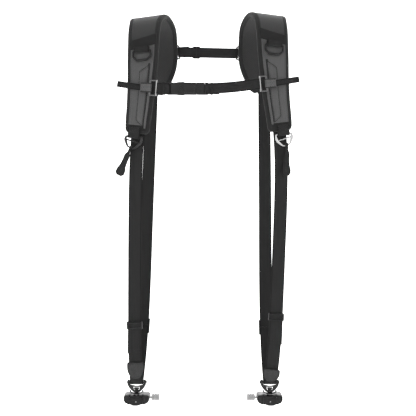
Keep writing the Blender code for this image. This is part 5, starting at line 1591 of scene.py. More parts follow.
def make_main_straps():
    """Long straps from pad end to pad end round the pin, the doubled ends and their folds."""
    for side in SIDES:
        first = pad_end(side, False)
        last = pad_end(side, True)
        points = [first.point]
        across = [first.across]
        for share, wide in run_rows(side, False):
            points.append(run_point(side, False, share))
            across.append(wide)
        pin = pin_point(side)
        front_angle = math.pi + run_ends(side, False)[2]
        rear_angle = 2 * math.pi - run_ends(side, True)[2]
        for i in range(21):
            angle = lerp(front_angle, rear_angle, i / 20)
            points.append(pin + Vector((0, math.cos(angle), math.sin(angle))) * strap_radius())
            across.append(run_across(1))
        for share, wide in reversed(run_rows(side, True)):
            points.append(run_point(side, True, share))
            across.append(wide)
        points.append(last.point)
        across.append(last.across)
        webbing("main_webbing", "main_strap", points, across, WEBBING_THICKNESS, MAIN_WEBBING, side)

        reach = run_reach(side, False, SLIDER_STRAIGHT * FRONT_SLIDER_HEIGHT)
        base = run_frame(side, False, side.slider_share, reach)
        layer = WEBBING_THICKNESS + CLEARANCE
        points = [base.at(0, layer, FRONT_SLIDER_HEIGHT / 2)]
        across = [base.across]
        rows = [
            row for row in run_rows(side, False, 80) if side.slider_share < row[0] < side.tail_share
        ]
        rows.append((side.tail_share, run_across(side.tail_share)))
        for share, wide in rows:
            place = run_frame(side, False, share, 0.01)
            shift = TAIL_SHIFT * (share - side.slider_share) / (side.tail_share - side.slider_share)
            points.append(place.at(shift, layer + TAIL_EASE, 0))
            across.append(wide)
        fold = rounded_block(
            "slider_fold", base,
            (-FOLD_SHARE * MAIN_WEBBING, layer - WEBBING_THICKNESS / 2, MM - FRONT_SLIDER_HEIGHT / 2),
            (FOLD_SHARE * MAIN_WEBBING, layer + FOLD_LIFT, FRONT_SLIDER_HEIGHT / 2 - 2 * FOLD_EDGE),
            FOLD_EDGE, side,
        )
        finish(fold, "webbing", HARNESS, "webbing")
        webbing("tail_webbing", "strap_tail", points, across, WEBBING_THICKNESS, MAIN_WEBBING, side)
        for back in TAIL_SEAMS:
            end = run_frame(side, False, side.tail_share, 0.01)
            line = [
                end.at(TAIL_SHIFT + x, layer + TAIL_EASE + WEBBING_THICKNESS / 2, back)
                for x in STITCH_ROW
            ]
            seam(HARNESS, side, line, end.out)


def make_small_webbing():
    """Tabs that hold the rings, and the tethers."""
    for side in SIDES:
        base = d_ring_frame(side)
        lap = D_RING_BELOW_BAND - CLEARANCE
        path = hairpin(
            base.point, D_RING_WIRE / 2 + CLEARANCE + D_TAB_THICKNESS / 2, -base.up, base.out, lap, lap,
        )
        width = D_RING_WIDTH - D_RING_WIRE - 2 * D_RING_CORNER - 2 * CLEARANCE
        webbing("d_webbing", "d_tab", path, base.across, D_TAB_THICKNESS, width, side)
        reach = D_RING_WIRE / 2 + CLEARANCE + D_TAB_THICKNESS
        for up in TAB_SEAMS:
            seam(HARNESS, side, [base.at(x, reach, up) for x in STITCH_ROW], base.out)

        base = pad_ring_frame(side)
        radius = PAD_RING_WIRE / 2 + CLEARANCE + THIN_WEBBING / 2
        front_lap = PAD_RING_BELOW + RING_WEBBING_LAP
        path = hairpin(
            base.point, radius, -base.up, base.out, PAD_RING_BELOW + 1.0 * MM,
            PAD_RING_BELOW - 2 * CLEARANCE,
        )
        surface = PAD_THICKNESS + THIN_WEBBING / 2 - PAD_RING_DEPTH + 2 * PAD_SEAT
        heights = (front_lap, lerp(front_lap, PAD_RING_BELOW, 0.5), PAD_RING_BELOW + 1.5 * MM)
        path = [base.at(0, surface, up) for up in heights] + path[2:]
        webbing("ring_loop", "ring_webbing", path, base.across, THIN_WEBBING, RING_WEBBING, side)
        sewn = base.moved(0, 0, (front_lap + PAD_RING_BELOW) / 2)
        cross_box(side, sewn, 0.8 * RING_WEBBING, 7 * MM, surface + THIN_WEBBING / 2)
        make_lanyard(side)


def make_lanyard(side):
    """Narrow webbing folded over the foot of the ring, with a long eye near its free end."""
    ring = pad_ring_frame(side)
    tilted = ring.rolled(-PAD_RING_TILT)
    foot = tilted.at(0, 0, -(PAD_RING_HEIGHT - PAD_RING_WIRE))
    down = Vector((math.sin(side.lanyard_lean), 0, -math.cos(side.lanyard_lean)))
    down = (down - ring.out * down.dot(ring.out)).normalized()
    across = ring.out.cross(down)
    radius = PAD_RING_WIRE / 2 + CLEARANCE + LANYARD_THICKNESS / 2 + LANYARD_SLACK
    path = hairpin(foot, radius, -down, -ring.out, 9 * MM, 4 * MM)
    front = foot + ring.out * radius
    shares = [0.16, 0.26, 0.5, 0.66, 0.8, 0.93, 1.0]
    widths = [LANYARD_NECK, LANYARD_WIDTH, LANYARD_WIDTH, 1.15 * LANYARD_WIDTH]
    widths += [LANYARD_EYE_WIDTH, LANYARD_EYE_WIDTH, 0.55 * LANYARD_EYE_WIDTH]
    path_widths = [LANYARD_NECK] * len(path)
    for i in range(1, 25):
        share = 0.08 + 0.92 * i / 24
        path.append(front + down * LANYARD_LENGTH * share)
        path_widths.append(float(np.interp(share, [0.0] + shares, [LANYARD_NECK] + widths)))
    webbing("tether", "lanyard", path, across, LANYARD_THICKNESS, path_widths, side)
    eye = front + down * LANYARD_LENGTH * 0.8
    outline = [
        eye + across * (math.cos(a) * EYE_WIDTH * 0.75) - down * (math.sin(a) * EYE_LENGTH * 0.6)
        for a in turns(28)
    ]
    rim = tube("tether_eye", outline, ring.out, 0.9 * MM, True, side, sides=10)
    finish(rim, "plastic", HARNESS, "black_plastic")
    rings = [
        [eye + (p + ring.out * (LANYARD_THICKNESS * s) - eye) * 0.98 for p in outline]
        for s in (-0.56, 0.56)
    ]
    slot = ring_skin("tether_slot", rings, side)
    finish(slot, "zip", HARNESS, "webbing")
    for x in (-0.36 * LANYARD_WIDTH, 0.36 * LANYARD_WIDTH):
        edge = front + across * x + ring.out * (LANYARD_THICKNESS / 2)
        line = [edge + down * LANYARD_LENGTH * s for s in (0.28, 0.4, 0.5, 0.6)]
        seam(HARNESS, side, line, ring.out)


def make_chest():
    """Narrow ribbed straps over the pads, grey tabs, and the webbing to the buckle."""
    ribs = []
    for side in SIDES:
        base = chest_frame(side)
        radius = CHEST_LOOP_WIRE / 2 + CLEARANCE + THIN_WEBBING / 2
        bar = chest_bar(side, 1)
        path = hairpin(bar, radius, -base.across, base.out, CHEST_TAB_LENGTH, CHEST_TAB_LENGTH)
        webbing(
            "chest_fold", "chest_tab", path, base.up, THIN_WEBBING, CHEST_TAB_HEIGHT, side,
            "grey_webbing",
        )
        sewn = Frame(bar + base.across * (0.62 * CHEST_TAB_LENGTH), base.across, base.out, base.up)
        cross_box(side, sewn, 8.5 * MM, 12 * MM, radius + THIN_WEBBING / 2)
        start = bar + base.across * (CHEST_TAB_LENGTH + ANCHOR_GAP) - base.out * radius
        half_pad = pad_width(position_at(side, side.anchor_drop)) / 2
        on_pad = half_pad + CHEST_LOOP_OFFSET - (start - base.point).dot(base.across)
        along = base.across + base.up * ANCHOR_SLOPE
        total = on_pad + ANCHOR_TAIL
        path = [start + along * total * i / 14 for i in range(15)]
        webbing("chest_webbing", "chest_anchor", path, base.up, THIN_WEBBING, NARROW_WEBBING, side)
        line = [
            mirrored(side, start + along * share + base.out * (THIN_WEBBING / 2))
            for share in np.linspace(2 * MM, total - 2 * MM, 20)
        ]
        ribs.append((line, [mirrored(side, base.out)] * len(line)))
    rib = repeated(
        "chest_ribs", ribs, settings().rib_pitch, (1.1 * MM, 0.86 * NARROW_WEBBING, 0.7 * MM),
        "webbing",
    )
    finish(rib, "thread", HARNESS, "webbing")

    buckle = buckle_frame()
    up = buckle.up
    wire_radius = CHEST_LOOP_WIRE / 2 + CLEARANCE + THIN_WEBBING / 2
    bar_radius = math.hypot(BUCKLE_BAR, BUCKLE_BAR_THICKNESS) / 2 + CLEARANCE + THIN_WEBBING / 2
    inner = (CHEST_LOOP_WIRE - CHEST_LOOP_WIDTH) / 2
    first, last = (world_frame(side, chest_frame(side).moved(inner, 0, 0)) for side in SIDES)
    socket_bar = buckle_bar(-1)
    gap = (socket_bar - first.point).length
    start = hairpin(first.point, wire_radius, first.across, -first.out, 0.42 * gap, 0.3 * gap)
    end = hairpin(socket_bar, bar_radius, buckle.across, buckle.out, 0.2 * gap, 0.42 * gap)
    widths = [first.up] * len(start) + [up] * len(end)
    webbing(
        "chest_webbing_left", "chest_strap_left", start + end, widths, THIN_WEBBING, CHEST_WEBBING,
    )
    plug_bar = buckle_bar(1)
    start = hairpin(plug_bar, bar_radius, -buckle.across, -buckle.out, CHEST_LAP, 3 * MM)
    end = hairpin(last.point, wire_radius, last.across, last.out, 6 * MM, CHEST_LAP)
    between = []
    for i in range(1, 16):
        share = i / 16
        point = lerp(start[-1], end[0], share)
        between.append(point - up * (CHEST_SAG * math.sin(math.pi * share)))
    widths = [up] * (len(start) + len(between)) + [last.up] * len(end)
    webbing(
        "chest_webbing_right", "chest_strap_right", start + between + end, widths, THIN_WEBBING,
        CHEST_WEBBING,
    )

    front = buckle.moved(-BUCKLE_CENTRE, 0, 0)
    half = CHEST_WEBBING / 2 + KEEPER_OVERLAP
    for label, low, high, out in (
        ("left", -83.4 * MM, -76.8 * MM, 4.3 * MM), ("right", 4.3 * MM, 8.5 * MM, 4.9 * MM),
    ):
        name = f"chest_keeper_{label}"
        keeper = rounded_block(name, front, (low, -out, -half), (high, out, half), 0.7 * MM)
        finish(keeper, "keeper", HARNESS, "webbing")

    # Two lines of stitches that close each lap of the webbing over its wire loop
    for base, reach in ((first, 11 * MM), (last, 17 * MM)):
        for back in (reach, reach - CHEST_ROW_GAP):
            middle = base.at(-back, wire_radius + THIN_WEBBING / 2, 0)
            seam(HARNESS, None, [middle + base.up * x for x in CHEST_ROW], base.out)


def make_back():
    """Webbing behind the neck with its tabs."""
    radius = BACK_CLIP_WIRE / 2 + CLEARANCE + THIN_WEBBING / 2
    half_width = (BACK_CLIP_WIDTH - BACK_CLIP_WIRE) / 2
    ends = []
    for side in SIDES:
        base = back_clip_frame(side)
        bar = base.at(half_width, 0, 0)
        path = hairpin(bar, radius, -base.across, -base.out, 0.5 * BACK_TAB_LENGTH, BACK_TAB_LENGTH)
        webbing("back_webbing", "back_tab", path, base.up, THIN_WEBBING, 0.9 * BACK_WEBBING, side)
        sewn = Frame(bar + base.across * (0.6 * BACK_TAB_LENGTH), base.across, base.out, base.up)
        cross_box(side, sewn, 15 * MM, 12 * MM, radius + THIN_WEBBING / 2)
        ends.append(world_frame(side, base.moved(-half_width, 0, 0)))
    first, last = ends
    start = hairpin(first.point, radius, first.across, first.out, BACK_LAP, 4 * MM)
    end = hairpin(last.point, radius, last.across, -last.out, 4 * MM, BACK_LAP)
    along = (end[0] - start[-1]).normalized()
    up = (first.up + last.up).normalized()
    up = (up - along * up.dot(along)).normalized()
    between = [lerp(start[-1], end[0], i / 12) for i in range(1, 12)]
    widths = [first.up] * len(start) + [up] * len(between) + [last.up] * len(end)
    webbing("back_webbing", "back_strap", start + between + end, widths, THIN_WEBBING, BACK_WEBBING)


# Rings, buckle and sliders


def shares_down(points, base, depth):
    """How far each point lies below a frame: 0 at the frame and 1 at the depth."""
    return [min(max((base.point - p).dot(base.up) / depth, 0), 1) for p in points]


def make_rings():
    """D-rings, chest loops with a bright front bar each as a painted highlight, rear loops and the rings
    under the pads, the right one lighter as a painted highlight.
    """
    for side in SIDES:
        base = d_ring_frame(side)
        half = (D_RING_WIDTH - D_RING_WIRE) / 2
        depth = D_RING_HEIGHT - D_RING_WIRE
        rows = ((-1, 0), (1, 0), (1, -0.62), (0.55, -1), (-0.55, -1), (-1, -0.62))
        outline = rounded_outline([base.at(a * half, 0, u * depth) for a, u in rows], D_RING_CORNER)
        radii = [
            lerp(D_RING_WIRE / 2, D_RING_FOOT_WIRE / 2, share)
            for share in shares_down(outline, base, 0.45 * depth)
        ]
        ring = tube("d_ring_wire", outline, base.out, radii, True, side)
        node = f"{side.name}_d_ring"
        finish(ring, "plastic", node, "black_plastic", node)

        base = chest_frame(side)
        width = CHEST_LOOP_WIDTH - CHEST_LOOP_WIRE
        height = CHEST_LOOP_HEIGHT - CHEST_LOOP_WIRE
        outline = rounded_outline(rectangle(base, width, height), CORNER_ROUND)
        loop = tube("chest_wire", outline, base.out, CHEST_LOOP_WIRE / 2, True, side)
        finish(loop, "loop_steel", HARNESS, "steel", f"{side.name}_chest_loop")
        # A bright bar in front of the loop's inner side: a painted highlight on the wire
        front = CHEST_LOOP_WIRE / 2 + CLEARANCE + THIN_WEBBING + BAR_HIGHLIGHT_RADIUS
        ends = ((0.5 * MM, height / 2), (front, height / 2 - 0.6 * MM), (front, height / 2 - 4 * MM))
        path = [base.at(-width / 2, out, up) for out, up in ends]
        path.append(base.at(-width / 2, front, 0))
        path += [base.at(-width / 2, out, -up) for out, up in reversed(ends)]
        name = "chest_bar_highlight"
        bar = tube(name, smooth_points(path, 4), base.across, BAR_HIGHLIGHT_RADIUS, False, side, 12)
        finish(bar, "painted_highlight_steel", HARNESS, "steel")

        base = back_clip_frame(side)
        corners = rectangle(base, BACK_CLIP_WIDTH - BACK_CLIP_WIRE, BACK_CLIP_HEIGHT - BACK_CLIP_WIRE)
        outline = rounded_outline(corners, CORNER_ROUND)
        clip = tube("back_loop", outline, base.out, BACK_CLIP_WIRE / 2, True, side)
        finish(clip, "plastic", HARNESS, "black_plastic", f"{side.name}_back_clip")

        base = pad_ring_frame(side)
        tilted = base.rolled(-PAD_RING_TILT)
        half = (PAD_RING_WIDTH - PAD_RING_WIRE) / 2
        depth = PAD_RING_HEIGHT - PAD_RING_WIRE
        corners = [base.at(-half, 0, 0), base.at(half, 0, 0)]
        rows = ((1, -0.42), (0.45, -1), (-0.45, -1), (-1, -0.42))
        corners += [tilted.at(a * half, 0, u * depth) for a, u in rows]
        # The right ring gets the lighter steel, the left the dark: painted highlight on the right one
        metal = "painted_highlight_steel" if side.sign > 0 else "dark_steel"
        outline = rounded_outline(corners, 0.16 * depth)
        radii = [
            PAD_RING_WIRE / 2 + RING_SWELL * math.sin(math.pi * share)
            for share in shares_down(outline, tilted, depth)
        ]
        ring = tube("ring_wire", outline, base.out, radii, True, side)
        finish(ring, metal, HARNESS, "steel", f"{side.name}_pad_ring")
        path = [tilted.at(half * s, 0, -0.42 * depth) for s in (-1, -0.5, 0, 0.5, 1)]
        bar = tube("ring_bar", path, base.out, 0.45 * PAD_RING_WIRE, False, side)
        finish(bar, metal, HARNESS, "steel")


def make_moulded():
    """Sliders and the chest buckle."""
    nodes = [f"{side.name}_{part}" for side in SIDES for part in ("front_slider", "rear_slider")]
    for node in nodes + ["back_slider", "buckle_socket", "buckle_plug"]:
        width = 0.45 * MM if node in nodes else 0.35 * MM
        finish(eased(f"{node}_moulded", node, width), "plastic", HARNESS, "black_plastic", node)


def rounded_block(name, base, low, high, width, side=None):
    """A block in a frame with its edges rounded."""
    if side:
        name = f"{side.name}_{name}"
    bm = bmesh.new()
    corners = {}
    sign = side.sign if side else 1
    for key in product((0, 1), repeat=3):
        p = base.at(*((low[i], high[i])[pick] for i, pick in enumerate(key)))
        corners[key] = bm.verts.new((p.x * sign, p.y, p.z))
    for axis in range(3):
        for end in (0, 1):
            ring = []
            for first, second in ((0, 0), (1, 0), (1, 1), (0, 1)):
                key = [first, second]
                key.insert(axis, end)
                ring.append(corners[tuple(key)])
            bm.faces.new(ring)
    bmesh.ops.recalc_face_normals(bm, faces=bm.faces)
    bmesh.ops.bevel(bm, geom=bm.edges[:], offset=width, segments=3, affect="EDGES", profile=0.5)
    return new_object(name, bm)


def make_buckle_details():
    """Linings inside the buckle's webbing slots, ribs on its release pads and a raised frame."""
    base = buckle_frame()
    half_length = BUCKLE_LENGTH / 2
    half_thick = BUCKLE_THICKNESS / 2
    half_height = BUCKLE_HEIGHT / 2
    blocks = []
    for label, start in (
        ("socket", BUCKLE_BAR - half_length),
        ("plug", half_length + PLUG_LENGTH - BUCKLE_BAR - BUCKLE_SLOT),
    ):
        blocks.append((
            f"{label}_lining", start - 0.2 * MM, start + BUCKLE_SLOT + 0.2 * MM,
            0.2 * MM - half_thick, 1.1 * MM - half_thick, CHEST_WEBBING / 2, 0.3 * MM,
        ))
    for i in range(5):
        across = (1.5 * i - 5.0) * MM
        blocks.append((
            f"rib_{i + 1}", across - 0.35 * MM, across + 0.35 * MM,
            half_thick - 0.2 * MM, half_thick + 0.35 * MM, 0.62 * half_height, 0.15 * MM,
        ))
    blocks.append((
        "face", 0.16 * half_length, 0.86 * half_length,
        half_thick - 0.2 * MM, half_thick + 0.3 * MM, 0.7 * half_height, 0.2 * MM,
    ))
    for label, left, right, back, front, half, width in blocks:
        block = rounded_block(f"buckle_{label}", base, (left, back, -half), (right, front, half), width)
        finish(block, "plastic", HARNESS, "black_plastic")


# Share of the outline and lift in millimetres, from the middle of the back to the middle of the face
TAB_EDGE_ROWS = (
    (0.02, -0.4), (0.6, -0.4), (0.97, 0.0), (1.0, 0.3), (1.0, 1.2), (0.96, 1.6), (0.5, 1.5), (0.02, 1.5),
)
TAB_FACE_ROWS = (
    (0.02, 1.4), (0.8, 1.4), (0.88, 1.4), (0.9, 1.7), (0.885, 2.15), (0.84, 2.3), (0.80, 2.1),
    (0.77, 2.25), (0.5, 2.4), (0.25, 2.45), (0.02, 2.5),
)


def make_leather_tabs():
    """Leather tab over the end of each main strap: a dark edge, a grained domed face, a hem."""
    for side in SIDES:
        middle = (side.tab_share + side.tab_end_share) / 2
        reach = (side.tab_end_share - side.tab_share) / 2
        base = run_frame(side, False, middle, reach)
        ends = (run_point(side, False, share) for share in (side.tab_share, side.tab_end_share))
        length = math.dist(*ends)
        back = WEBBING_THICKNESS / 2 + CLEARANCE + PAD_SEAT
        right = smooth_points([Vector((row.across, row.up, 0)) for row in TAB_OUTLINE], 4)
        outline = right + [Vector((-p.x, p.y, 0)) for p in reversed(right[1:])]
        centre = Vector((0, 0.55, 0))

        def spot(point, share, lift):
            q = centre + (point - centre) * share
            dome = TAB_DOME * (1 - q.x**2)
            return base.at(q.x * TAB_WIDTH / 2, back + lift + dome, (q.y - 0.5) * length)

        rings = [[spot(p, share, lift * MM) for p in outline] for share, lift in TAB_EDGE_ROWS]
        under = ring_skin("tab_edge", rings, side)
        finish(under, "tab_edge", HARNESS, "leather", f"{side.name}_tab")
        rings = [[spot(p, share, lift * MM) for p in outline] for share, lift in TAB_FACE_ROWS]
        face = ring_skin("tab_face", rings, side)
        finish(face, "leather", HARNESS, "leather")
        line = [spot(p, 0.8, 2.15 * MM) for p in outline]
        seam(HARNESS, side, line + line[:1], base.out)
        top = [spot(Vector((x, 1.0, 0)), 0.9, 2.3 * MM) for x in (-0.8, -0.4, 0, 0.4, 0.8)]
        hem = tube("tab_hem", top, base.out, 0.8 * MM, False, side, sides=10)
        finish(hem, "leather", HARNESS, "leather")


# Link, swivel head, plate and clamp


def link_frame(side):
    return Frame(pin_point(side), Vector((-1, 0, 0)), Vector((0, -1, 0)), Vector((0, 0, 1)))


def yoke_frame(side):
    return link_frame(side).moved(0, 0, -SHACKLE_DROP)


def plate_top():
    return -(YOKE_BASE_DROP + CLEARANCE + BOSS_HEIGHT)


def make_camera_links():
    for side in SIDES:
        make_shackle(side)
        for part, label, width, segments, body, slot in (
            ("yoke", "head", 0.35 * MM, 2, "yoke", "black_aluminium"),
            ("plate", "milled", 0.25 * MM, 2, "clamp", "silver_aluminium"),
            ("clamp", "body", 0.7 * MM, 3, "clamp", "black_aluminium"),
            ("jaw", "milled", 0.7 * MM, 3, "jaw", "black_aluminium"),
        ):
            node = f"{side.name}_{part}"
            piece = eased(f"{node}_{label}", node, width, segments)
            finish(piece, "black_metal", f"{side.name}_{body}", slot, node)
        make_web(side)
        make_clamp_details(side)
        make_clamp_trim(side)
        make_knob(side)


def make_shackle(side):
    """Bow that swells in the middle of its legs, two eyes and the knurled screw pin."""
    base = link_frame(side)
    link = f"{side.name}_link"
    rows = [(row.across * EYE_OFFSET, -row.down * SHACKLE_DROP) for row in SHACKLE_BOW]
    right = [base.at(a, 0, u) for a, u in rows]
    left = [base.at(-a, 0, u) for a, u in reversed(rows)]
    path = smooth_points(right, 5) + smooth_points(left, 5)
    radii = [
        SHACKLE_WIRE / 2 + LEG_SWELL * math.sin(math.pi * share)
        for share in shares_down(path, base, SHACKLE_DROP)
    ]
    bow = tube("shackle_bow", path, base.out, radii, False, side)
    finish(bow, "dark_steel", link, "dark_steel", f"{side.name}_shackle")
    hole = PIN_RADIUS + CLEARANCE
    half = EYE_THICKNESS / 2
    soft = 0.5 * MM
    profile = [
        (-half, hole), (-half, EYE_RADIUS - soft), (-half + soft, EYE_RADIUS),
        (half - soft, EYE_RADIUS), (half, EYE_RADIUS - soft), (half, hole),
    ]
    for sense, label in ((-1, "near"), (1, "far")):
        centre = base.at(sense * EYE_OFFSET, 0, 0)
        rings = []
        for angle in turns(32):
            spoke = base.out * math.cos(angle) + base.up * math.sin(angle)
            rings.append([centre + base.across * d + spoke * r for d, r in profile])
        eye = ring_skin(f"shackle_eye_{label}", rings, side, True)
        finish(eye, "dark_steel", link, "dark_steel")
    end = EYE_OFFSET + half + CLEARANCE
    cut = 0.4 * MM
    head = PIN_HEAD_RADIUS
    tip = end + PIN_HEAD_LENGTH
    profile = [
        (-end - 0.6 * MM, PIN_RADIUS - cut), (-end, PIN_RADIUS), (end, PIN_RADIUS),
        (end, head - cut), (end + cut, head, 1), (tip - cut, head, 1), (tip, head - cut),
        (tip, 0.4 * head), (tip - 0.8 * MM, 0.36 * head),
    ]
    pin = turned("link_screw", profile, base.point, base.across, side, 48, 0.15 * MM)
    finish(pin, "dark_steel", link, "dark_steel", f"{side.name}_shackle_pin")


def make_web(side):
    """Forged web that fills the foot of the V between the shackle's two legs."""
    base = link_frame(side)
    rows = smooth_points([
        Vector((row.across * EYE_OFFSET, -row.down * SHACKLE_DROP, 0)) for row in SHACKLE_BOW
    ], 5)
    rows.sort(key=lambda p: p.y)
    low, high = -SHACKLE_DROP + WEB_FOOT, -WEB_TOP * SHACKLE_DROP
    leg = [
        Vector((np.interp(u, [p.y for p in rows], [p.x for p in rows]), u, 0))
        for u in np.linspace(high, low, 9)
    ]
    dip = [Vector((share * leg[0].x, high - WEB_DIP * (1 - share), 0)) for share in (0.4, 0.7)]
    notch = WEB_NOTCH - SHACKLE_DROP
    half = dip + leg + [Vector((WEB_GAP, low + 0.4 * MM, 0)), Vector((WEB_GAP, notch, 0))]
    outline = [Vector((0, high - WEB_DIP, 0))] + half + [Vector((0, notch, 0))]
    outline += [Vector((-p.x, p.y, 0)) for p in reversed(half)]
    centre = Vector((0, notch, 0))
    edge, face = WEB_EDGE
    rings = []
    for out, inset in ((-face, 0.98), (-edge, 1.0), (edge, 1.0), (face, 0.98)):
        spots = [centre + (p - centre) * inset for p in outline]
        rings.append([base.at(q.x, out, q.y) for q in spots])
    web = ring_skin("shackle_web", rings, side)
    finish(web, "dark_steel", f"{side.name}_link", "dark_steel")


def make_clamp_details(side):
    """Two screws in the clamp's front."""
    base = yoke_frame(side)
    floor = plate_top() - PLATE_THICKNESS - CLEARANCE
    front = CLAMP_DEPTH / 2
    for label, across, drop, radius, metal in (
        ("front", 0.0, 6.8 * MM, 1.1 * MM, "silver_metal"),
        ("low", -13.0 * MM, 4.6 * MM, 1.9 * MM, "black_metal"),
    ):
        profile = [
            (-0.6 * MM, radius), (0.1 * MM, radius), (0.25 * MM, radius - 0.15 * MM),
            (0.25 * MM, 0.5 * radius), (-0.3 * MM, 0.45 * radius),
        ]
        place = base.at(across, front, floor - drop)
        screw = turned(f"clamp_screw_{label}", profile, place, base.out, side, 24)
        finish(screw, metal, f"{side.name}_clamp", "silver_aluminium")


def make_clamp_trim(side):
    """Lighter grey caps on the jaws as a painted highlight on their top faces, a collar on the boss and a
    grey ring round the foot.
    """
    base = yoke_frame(side)
    top = plate_top() - PLATE_THICKNESS + JAW_RISE
    depth = CLAMP_DEPTH / 2 - 1.2 * MM
    for label, low, high, body in (
        ("fixed", JAW_HIGHLIGHT_INSET - CLAMP_FIXED_LENGTH, JAW_HIGHLIGHT_INSET + JAW_HIGHLIGHT_LENGTH - CLAMP_FIXED_LENGTH, "clamp"),
        ("moving", CLAMP_HALF_LENGTH - JAW_HIGHLIGHT_INSET - JAW_HIGHLIGHT_LENGTH, CLAMP_HALF_LENGTH - JAW_HIGHLIGHT_INSET, "jaw"),
    ):
        # Thin lighter blocks over the jaws' top faces: painted highlight where the light falls on them
        cap = rounded_block(
            f"{label}_jaw_cap", base, (low, -depth, top - 1.4 * MM),
            (high, depth, top + SLEEVE), 0.5 * MM, side,
        )
        finish(cap, "grey_metal_and_jaw_highlight", f"{side.name}_{body}", "black_aluminium")
    boss = plate_top()
    profile = [
        (boss + 0.1 * MM, BOSS_RADIUS), (boss + 0.3 * MM, BOSS_RADIUS + SLEEVE),
        (boss + BOSS_HEIGHT - 0.3 * MM, BOSS_RADIUS + SLEEVE), (boss + BOSS_HEIGHT, BOSS_RADIUS),
    ]
    collar = turned("boss_collar", profile, base.point, base.up, side, 40)
    finish(collar, "silver_metal", f"{side.name}_clamp", "silver_aluminium")
    foot = boss - PLATE_THICKNESS - CLEARANCE - CLAMP_BODY_HEIGHT - BASE_HEIGHT
    rows = ((-0.1, -0.8), (0, 0.1), (0.5, 0.4), (1.3, 0.4), (1.6, -0.2))
    profile = [(foot + up * MM, BASE_RADIUS + wider * MM) for up, wider in rows]
    ring = turned("foot_ring", profile, base.at(-BASE_SHIFT, 0, 0), base.up, side, 48)
    # The foot ring takes the same lighter grey as the painted jaw highlight
    finish(ring, "grey_metal_and_jaw_highlight", f"{side.name}_clamp", "black_aluminium")


def make_knob(side):
    """Knob with three knurled rings and a recessed end."""
    base = yoke_frame(side)
    floor = plate_top() - PLATE_THICKNESS - CLEARANCE
    screw = base.moved(0, 0, floor - KNOB_DROP)
    bottom = JAW_SPLIT - CLEARANCE - SHAFT_DEPTH
    start = CLAMP_HALF_LENGTH + KNOB_GAP
    profile = [
        (bottom, SHAFT_RADIUS - 0.4 * MM), (bottom + 0.6 * MM, SHAFT_RADIUS), (start, SHAFT_RADIUS),
    ]
    ring = KNOB_LENGTH / 3
    for k in range(3):
        low = start + ring * k
        profile += [
            (low, KNOB_RADIUS - 1.1 * MM), (low + 0.5 * MM, KNOB_RADIUS - 1.0 * MM),
            (low + 0.9 * MM, KNOB_RADIUS, 1), (low + ring - 0.6 * MM, KNOB_RADIUS, 1),
            (low + ring - 0.2 * MM, KNOB_RADIUS - 0.7 * MM),
        ]
    end = start + KNOB_LENGTH
    profile += [
        (end, KNOB_RADIUS - 1.6 * MM), (end, 0.45 * KNOB_RADIUS),
        (end - 0.9 * MM, 0.42 * KNOB_RADIUS),
    ]
    knob = turned("knurled_knob", profile, screw.point, screw.across, side, 72, 0.4 * MM)
    finish(knob, "silver_metal", f"{side.name}_knob", "silver_aluminium", f"{side.name}_knob")


def make_stitches():
    """All the seams, as one mesh of stitches for each body."""
    sizes = settings()
    for body, lines in SEAMS.items():
        stitches = repeated(
            f"{body}_stitches", lines, sizes.stitch_pitch,
            (sizes.stitch_length, sizes.stitch_width, 0.8 * sizes.stitch_width), "thread",
        )
        finish(stitches, "thread", body, "webbing")


# Operators


class Step:
    """Runs the functions of one step in order."""

    steps = ()

    def execute(self, context):
        for step in self.steps:
            step()
        return {"FINISHED"}


class HARNESS_OT_stage(Step, bpy.types.Operator):
    """Set up the studio floor, lights and camera"""

    bl_idname = "harness.stage"
    bl_label = "Studio"
    steps = (make_stage,)


class HARNESS_OT_pads(Step, bpy.types.Operator):
    """Make the shoulder pads with binding, panels, band and pocket"""

    bl_idname = "harness.pads"
    bl_label = "Pads"
    steps = (make_pads,)


class HARNESS_OT_webbing(Step, bpy.types.Operator):
    """Make the main, chest and back straps, the tabs and the tethers"""

    bl_idname = "harness.webbing"
    bl_label = "Webbing"
    steps = (make_main_straps, make_small_webbing, make_chest, make_back)


class HARNESS_OT_hardware(Step, bpy.types.Operator):
    """Make the rings, loops, sliders and the buckle"""

    bl_idname = "harness.hardware"
    bl_label = "Rings and buckle"
    steps = (make_rings, make_moulded, make_buckle_details)


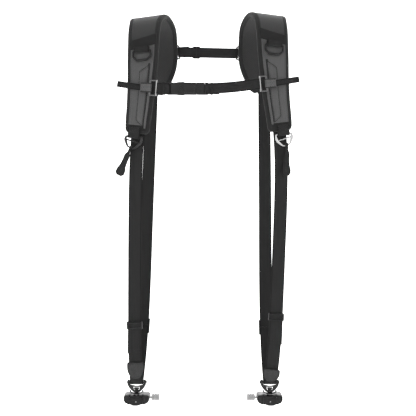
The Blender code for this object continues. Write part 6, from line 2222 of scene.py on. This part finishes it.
class HARNESS_OT_leather(Step, bpy.types.Operator):
    """Make the leather tabs"""

    bl_idname = "harness.leather"
    bl_label = "Leather tabs"
    steps = (make_leather_tabs,)


class HARNESS_OT_links(Step, bpy.types.Operator):
    """Make the shackles, swivel heads, plates, clamps and knobs"""

    bl_idname = "harness.links"
    bl_label = "Camera links"
    steps = (make_camera_links,)


class HARNESS_OT_stitches(bpy.types.Operator):
    """Sew every seam that the other steps have marked"""

    bl_idname = "harness.stitches"
    bl_label = "Stitches"

    def execute(self, context):
        if not SEAMS:
            raise RuntimeError("no seams yet: make the pads and the webbing first")
        make_stitches()
        return {"FINISHED"}


OPERATORS = (
    HARNESS_OT_stage,
    HARNESS_OT_pads,
    HARNESS_OT_webbing,
    HARNESS_OT_hardware,
    HARNESS_OT_leather,
    HARNESS_OT_links,
    HARNESS_OT_stitches,
)


class HARNESS_PT_panel(bpy.types.Panel):
    """Steps, sizes and colours of the harness"""

    bl_idname = "HARNESS_PT_panel"
    bl_label = "Camera harness"
    bl_space_type = "VIEW_3D"
    bl_region_type = "UI"
    bl_category = "Harness"

    def draw(self, context):
        column = self.layout.column()
        for operator in OPERATORS:
            column.operator(operator.bl_idname)
        for group in (context.scene.harness_sizes, context.scene.harness_colours):
            for key in group.__annotations__:
                column.prop(group, key)


CLASSES = (HarnessColours, HarnessSizes, *OPERATORS, HARNESS_PT_panel)


def register():
    for cls in CLASSES:
        bpy.utils.register_class(cls)
    bpy.types.Scene.harness_sizes = bpy.props.PointerProperty(type=HarnessSizes)
    bpy.types.Scene.harness_colours = bpy.props.PointerProperty(type=HarnessColours)


def unregister():
    del bpy.types.Scene.harness_colours
    del bpy.types.Scene.harness_sizes
    for cls in reversed(CLASSES):
        bpy.utils.unregister_class(cls)


def main():
    register()
    bpy.ops.harness.stage()
    bpy.ops.harness.pads()
    bpy.ops.harness.webbing()
    bpy.ops.harness.hardware()
    bpy.ops.harness.leather()
    bpy.ops.harness.links()
    bpy.ops.harness.stitches()


if __name__ == "__main__":
    main()
